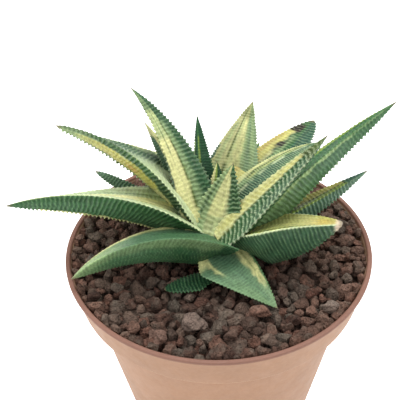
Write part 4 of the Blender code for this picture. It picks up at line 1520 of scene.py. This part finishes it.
@dataclass
class NurseryPot:
    """Round tapered pot of moulded plastic with a lip, a stepped rim band and drain holes.

    Sizes are millimetres; radii are outside ones.

    Attributes:
        lip_radius: Radius of the lip.
        lip_width: Width of the flat top of the lip.
        lip_height: Height of the lip.
        band_top: Radius of the rim band under the lip.
        band_foot: Radius of the rim band at its foot.
        band_depth: How far the band's foot lies under the rim.
        wall_top: Radius of the wall under the band.
        base_radius: Radius of the base.
        wall: Thickness of the wall.
        floor: Thickness of the floor.
        edge: How far the step on the inside lies above and below the one outside.
        hole_radius: Radius of a drain hole.
        hole_circle: Radius of the circle that the holes stand on.
        hole_count: How many drain holes.
        columns: Points to a ring.
    """

    lip_radius: float = 52.5
    lip_width: float = 1.5
    lip_height: float = 1.2
    band_top: float = 51.9
    band_foot: float = 49.6
    band_depth: float = 13.2
    wall_top: float = 46.0
    base_radius: float = 33.0
    wall: float = 1.3
    floor: float = 1.8
    edge: float = 0.6
    hole_radius: float = 3.5
    hole_circle: float = 22.0
    hole_count: int = 6
    columns: int = 240

    def rounded(self, points: list[tuple[float, float]], radii: list[float]) -> np.ndarray:
        """Round the corners of an open profile.

        Each corner P with a radius r is swapped for the curve (1-t)^2 A + 2t(1-t) P + t^2 B,
        A and B lying r back along its two sides.

        Args:
            points: Profile corners (radius, height) in order.
            radii: Rounding of each corner, mm.

        Returns:
            Points (n, 2) of the rounded profile.
        """
        corners = np.array(points)
        out = [corners[:1]]
        t = np.linspace(0, 1, 7)[:, None]
        for before, here, after, size in zip(corners[:-2], corners[1:-1], corners[2:], radii[1:-1]):
            back = here + unit(before - here) * size
            fore = here + unit(after - here) * size
            out.append((1 - t) ** 2 * back + 2 * t * (1 - t) * here + t * t * fore)
        out.append(corners[-1:])
        return np.concatenate(out)

    def profile(self, height: float) -> np.ndarray:
        """The whole section from the middle underneath to the middle of the floor inside.

        Args:
            height: Height of the pot, mm.

        Returns:
            Points (n, 2) of radius and height, mm.
        """
        foot = height - self.band_depth
        lip_foot = height - self.lip_height
        points = [(2.0, 0.0), (self.base_radius, 0.0), (self.wall_top, foot),
                  (self.band_foot, foot), (self.band_top, lip_foot), (self.lip_radius, lip_foot),
                  (self.lip_radius, height), *self.inside(height), (2.0, self.floor)]
        radii = [0, 0.9, 0.4, 0.5, 0.2, 0.25, 0.5, 0.5, 0.9, 0.9, 0.9, 0]
        return self.rounded(points, radii)

    def inside(self, height: float) -> list[tuple[float, float]]:
        """Corners of the inside, from the rim down to the floor.

        Args:
            height: Height of the pot, mm.

        Returns:
            Radius and height of each corner, mm.
        """
        foot = height - self.band_depth
        return [(self.lip_radius - self.lip_width, height),
                (self.band_foot - self.wall, foot + self.wall + self.edge),
                (self.wall_top - self.wall, foot - self.edge),
                (self.base_radius - self.wall, self.floor)]

    def dense(self, outline: np.ndarray) -> np.ndarray:
        """Add points along the long straight runs, at most about 3 mm apart.

        Args:
            outline: Points (n, 2), mm.

        Returns:
            The outline with the points added.
        """
        pieces = [outline[:1]]
        for start, end in zip(outline[:-1], outline[1:]):
            count = max(1, int(np.linalg.norm(end - start) / 3.0))
            pieces.append(start + (end - start) * (np.arange(1, count + 1) / count)[:, None])
        return np.concatenate(pieces)

    def turned(self, outline: np.ndarray, name: str) -> bpy.types.Object:
        """Turn an outline round the pot's axis: (r cos a, r sin a, z).

        Args:
            outline: Radius and height (n, 2), mm.
            name: Name of the object.

        Returns:
            The turned object.
        """
        phi = math.tau * np.arange(self.columns) / self.columns
        r, z = outline[:, :1] * MM, outline[:, 1:] * MM
        rings = np.stack([r * np.cos(phi), r * np.sin(phi), z + 0 * phi], -1)
        poles = np.array([[0, 0, outline[0, 1] * MM], [0, 0, outline[-1, 1] * MM]])
        return Skin(rings[None], poles[None]).build(name)

    def drill(self, pot: bpy.types.Object) -> None:
        """Cut the ring of drain holes with rounds of 48 sides.

        Args:
            pot: The turned pot.
        """
        phi = math.tau * np.arange(48) / 48
        ends = (-2.0, self.floor + 2.0)
        for number in range(self.hole_count):
            turn = math.radians(360 / self.hole_count * (number + 0.5))
            x, y = self.hole_circle * math.cos(turn), self.hole_circle * math.sin(turn)
            rings = np.stack([np.stack([x + self.hole_radius * np.cos(phi),
                                        y + self.hole_radius * np.sin(phi), z + 0 * phi], -1)
                              for z in ends]) * MM
            poles = np.array([[x, y, z] for z in ends]) * MM
            cutter = Skin(rings[None], poles[None]).build("drain_cutter")
            cut = pot.modifiers.new("drain", "BOOLEAN")
            cut.operation = "DIFFERENCE"
            cut.solver = "EXACT"
            cut.object = cutter
            bpy.context.view_layer.update()
            solved = bpy.data.meshes.new_from_object(
                pot.evaluated_get(bpy.context.evaluated_depsgraph_get()))
            pot.modifiers.remove(cut)
            old, pot.data = pot.data, solved
            bpy.data.meshes.remove(old)
            bpy.data.objects.remove(cutter)

    def build(self, finish: bpy.types.Material) -> None:
        """Make the pot, as high as its CAD node.

        Args:
            finish: Plastic material.
        """
        _, highest = corners_of("pot")
        pot = self.turned(self.dense(self.profile(highest[2] / MM)), "nursery_pot")
        self.drill(pot)
        settle(pot, "pot", finish)


# ---------------------------------------------------------------- studio

@dataclass(frozen=True)
class Lamp:
    """A round lamp: where it stands in metres, its width in metres and its power in watts."""

    name: str
    place: tuple[float, float, float]
    size: float
    power: float

    def hang(self, target: np.ndarray) -> None:
        """Make the lamp and turn it towards a point.

        Args:
            target: The point, metres.
        """
        lamp = bpy.data.lights.new(self.name, "AREA")
        lamp.shape = "DISK"
        lamp.size = self.size
        lamp.energy = self.power
        place = np.array(self.place)
        back = unit(place - target)
        right = unit(np.cross((0, 0, 1), back))
        stand_at(put(self.name, lamp), right, np.cross(back, right), back, place)


LAMPS = (
    Lamp("top_lamp", (0.06, 0.22, 0.80), 0.45, 4.2),
    Lamp("left_lamp", (-0.55, -0.10, 0.45), 0.40, 1.6),
    Lamp("right_lamp", (0.50, -0.20, 0.50), 0.40, 1.1),
)


@dataclass
class Studio:
    """Pale floor, soft daylight tent, three lamps and the camera.

    Attributes:
        distance: From the centre of the rim to the camera, metres.
        raised: How high the camera stands over the rim's plane, degrees.
        turned: How far it is turned to the left, degrees.
        tilted: How far it looks above the rim's centre, degrees.
        leaned: How far it is leaned to its right, degrees.
        lens: Focal length on a sensor 36 mm wide, mm.
        daylight: Strength of the even white surroundings.
        paper_half: Half the width of the paper on the floor, metres.
        plant_height: Height that the lamps point at, metres.
    """

    distance: float = 0.230
    raised: float = 41.4
    turned: float = 1.85
    tilted: float = 3.65
    leaned: float = 2.2
    lens: float = 59.4
    daylight: float = 0.82
    paper_half: float = 6.0
    plant_height: float = 0.09

    def floor(self, finish: bpy.types.Material) -> None:
        """Lay a very wide sheet of paper under the pot, 0.2 mm clear of it.

        Args:
            finish: Paper material.
        """
        half = self.paper_half
        mesh = bpy.data.meshes.new("studio_floor")
        mesh.from_pydata([(-half, -half, 0), (half, -half, 0), (half, half, 0), (-half, half, 0)],
                         [], [(0, 1, 2, 3)])
        mesh.materials.append(finish)
        sheet = put("studio_floor", mesh)
        sheet.location.z = -0.0002

    def light(self) -> None:
        """Even white surroundings, a broad soft lamp above and a weak one at each side."""
        world = bpy.data.worlds.new("daylight_tent")
        world.use_nodes = True
        sky = world.node_tree.nodes["Background"]
        sky.inputs["Color"].default_value = (1, 1, 1, 1)
        sky.inputs["Strength"].default_value = self.daylight
        bpy.context.scene.world = world
        for lamp in LAMPS:
            lamp.hang(np.array((0, 0, self.plant_height)))

    def camera(self, rim: float) -> None:
        """Stand the camera before the pot, looking down on it.

        It stands at the distance from the rim's centre, raised above the rim's plane, and is
        then turned, tilted up and leaned a little.

        Args:
            rim: Height of the rim, metres.
        """
        raised, tilt = math.radians(self.raised), math.radians(self.raised - self.tilted)
        turn, lean = math.radians(self.turned), math.radians(-self.leaned)
        place = np.array([0, -math.cos(raised), math.sin(raised)]) * self.distance
        place = place + np.array([0, 0, rim])
        spin = np.array([[math.cos(turn), -math.sin(turn), 0],
                         [math.sin(turn), math.cos(turn), 0], [0, 0, 1]])
        forward = spin @ np.array([0, math.cos(tilt), -math.sin(tilt)])
        upward = spin @ np.array([0, math.sin(tilt), math.cos(tilt)])
        right = spin @ np.array([1.0, 0, 0])
        right, upward = (right * math.cos(lean) + upward * math.sin(lean),
                         upward * math.cos(lean) - right * math.sin(lean))
        lens = bpy.data.cameras.new("studio_camera")
        lens.lens = self.lens
        lens.sensor_width = 36.0
        lens.clip_start = 0.005
        camera = put("studio_camera", lens)
        stand_at(camera, right, upward, -forward, place)
        bpy.context.scene.camera = camera

    def build(self) -> None:
        """Set everything up and keep the colours plain."""
        self.camera(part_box("pot")[1][2])
        self.floor(FloorPaper().make())
        self.light()
        bpy.context.scene.view_settings.view_transform = "Standard"
        LOG.info("studio ready")


def dress(node: str, finish: bpy.types.Material) -> None:
    """Give a CAD node that stays in view a better material.

    Args:
        node: The CAD node.
        finish: Material that it wears.
    """
    piece = frame["nodes"][node]
    for slot in piece.material_slots:
        slot.material = finish
    LOG.info("%s keeps its shape, now in %s", node, finish.name)


def main() -> None:
    """Build the studio, the pot, its filling and the leaves."""
    logging.basicConfig(level=logging.INFO, format="%(name)s: %(message)s")
    Studio().build()
    pot = NurseryPot()
    pot.build(PotPlastic().make())
    inside = tuple(pot.inside(corners_of("pot")[1][2] / MM))
    lava = {name: LavaSkin(name, dark, light).make() for name, dark, light in (
        ("lava_brown", linear(70, 50, 42), linear(128, 100, 86)),
        ("lava_pale", linear(104, 86, 76), linear(148, 128, 116)),
        ("lava_gravel", linear(72, 53, 45), linear(126, 99, 85)))}
    stones = Stones(finishes=lava)
    stones.build()
    GravelBed(stones=tuple(stones.names()), inside=inside).build(lava["lava_gravel"])
    dress("potting_soil", PeatSoil().make())
    dress("stem_and_roots", StemFlesh().make())
    skins = {name: LeafSkin(name, crest).make() for name, crest in (
        ("leaf_green", linear(132, 166, 116)), ("leaf_striped", linear(178, 196, 150)),
        ("leaf_cream", linear(206, 214, 178)))}
    for leaf in LEAVES:
        leaf.build(skins[leaf.skin])


if __name__ == "__main__":
    main()
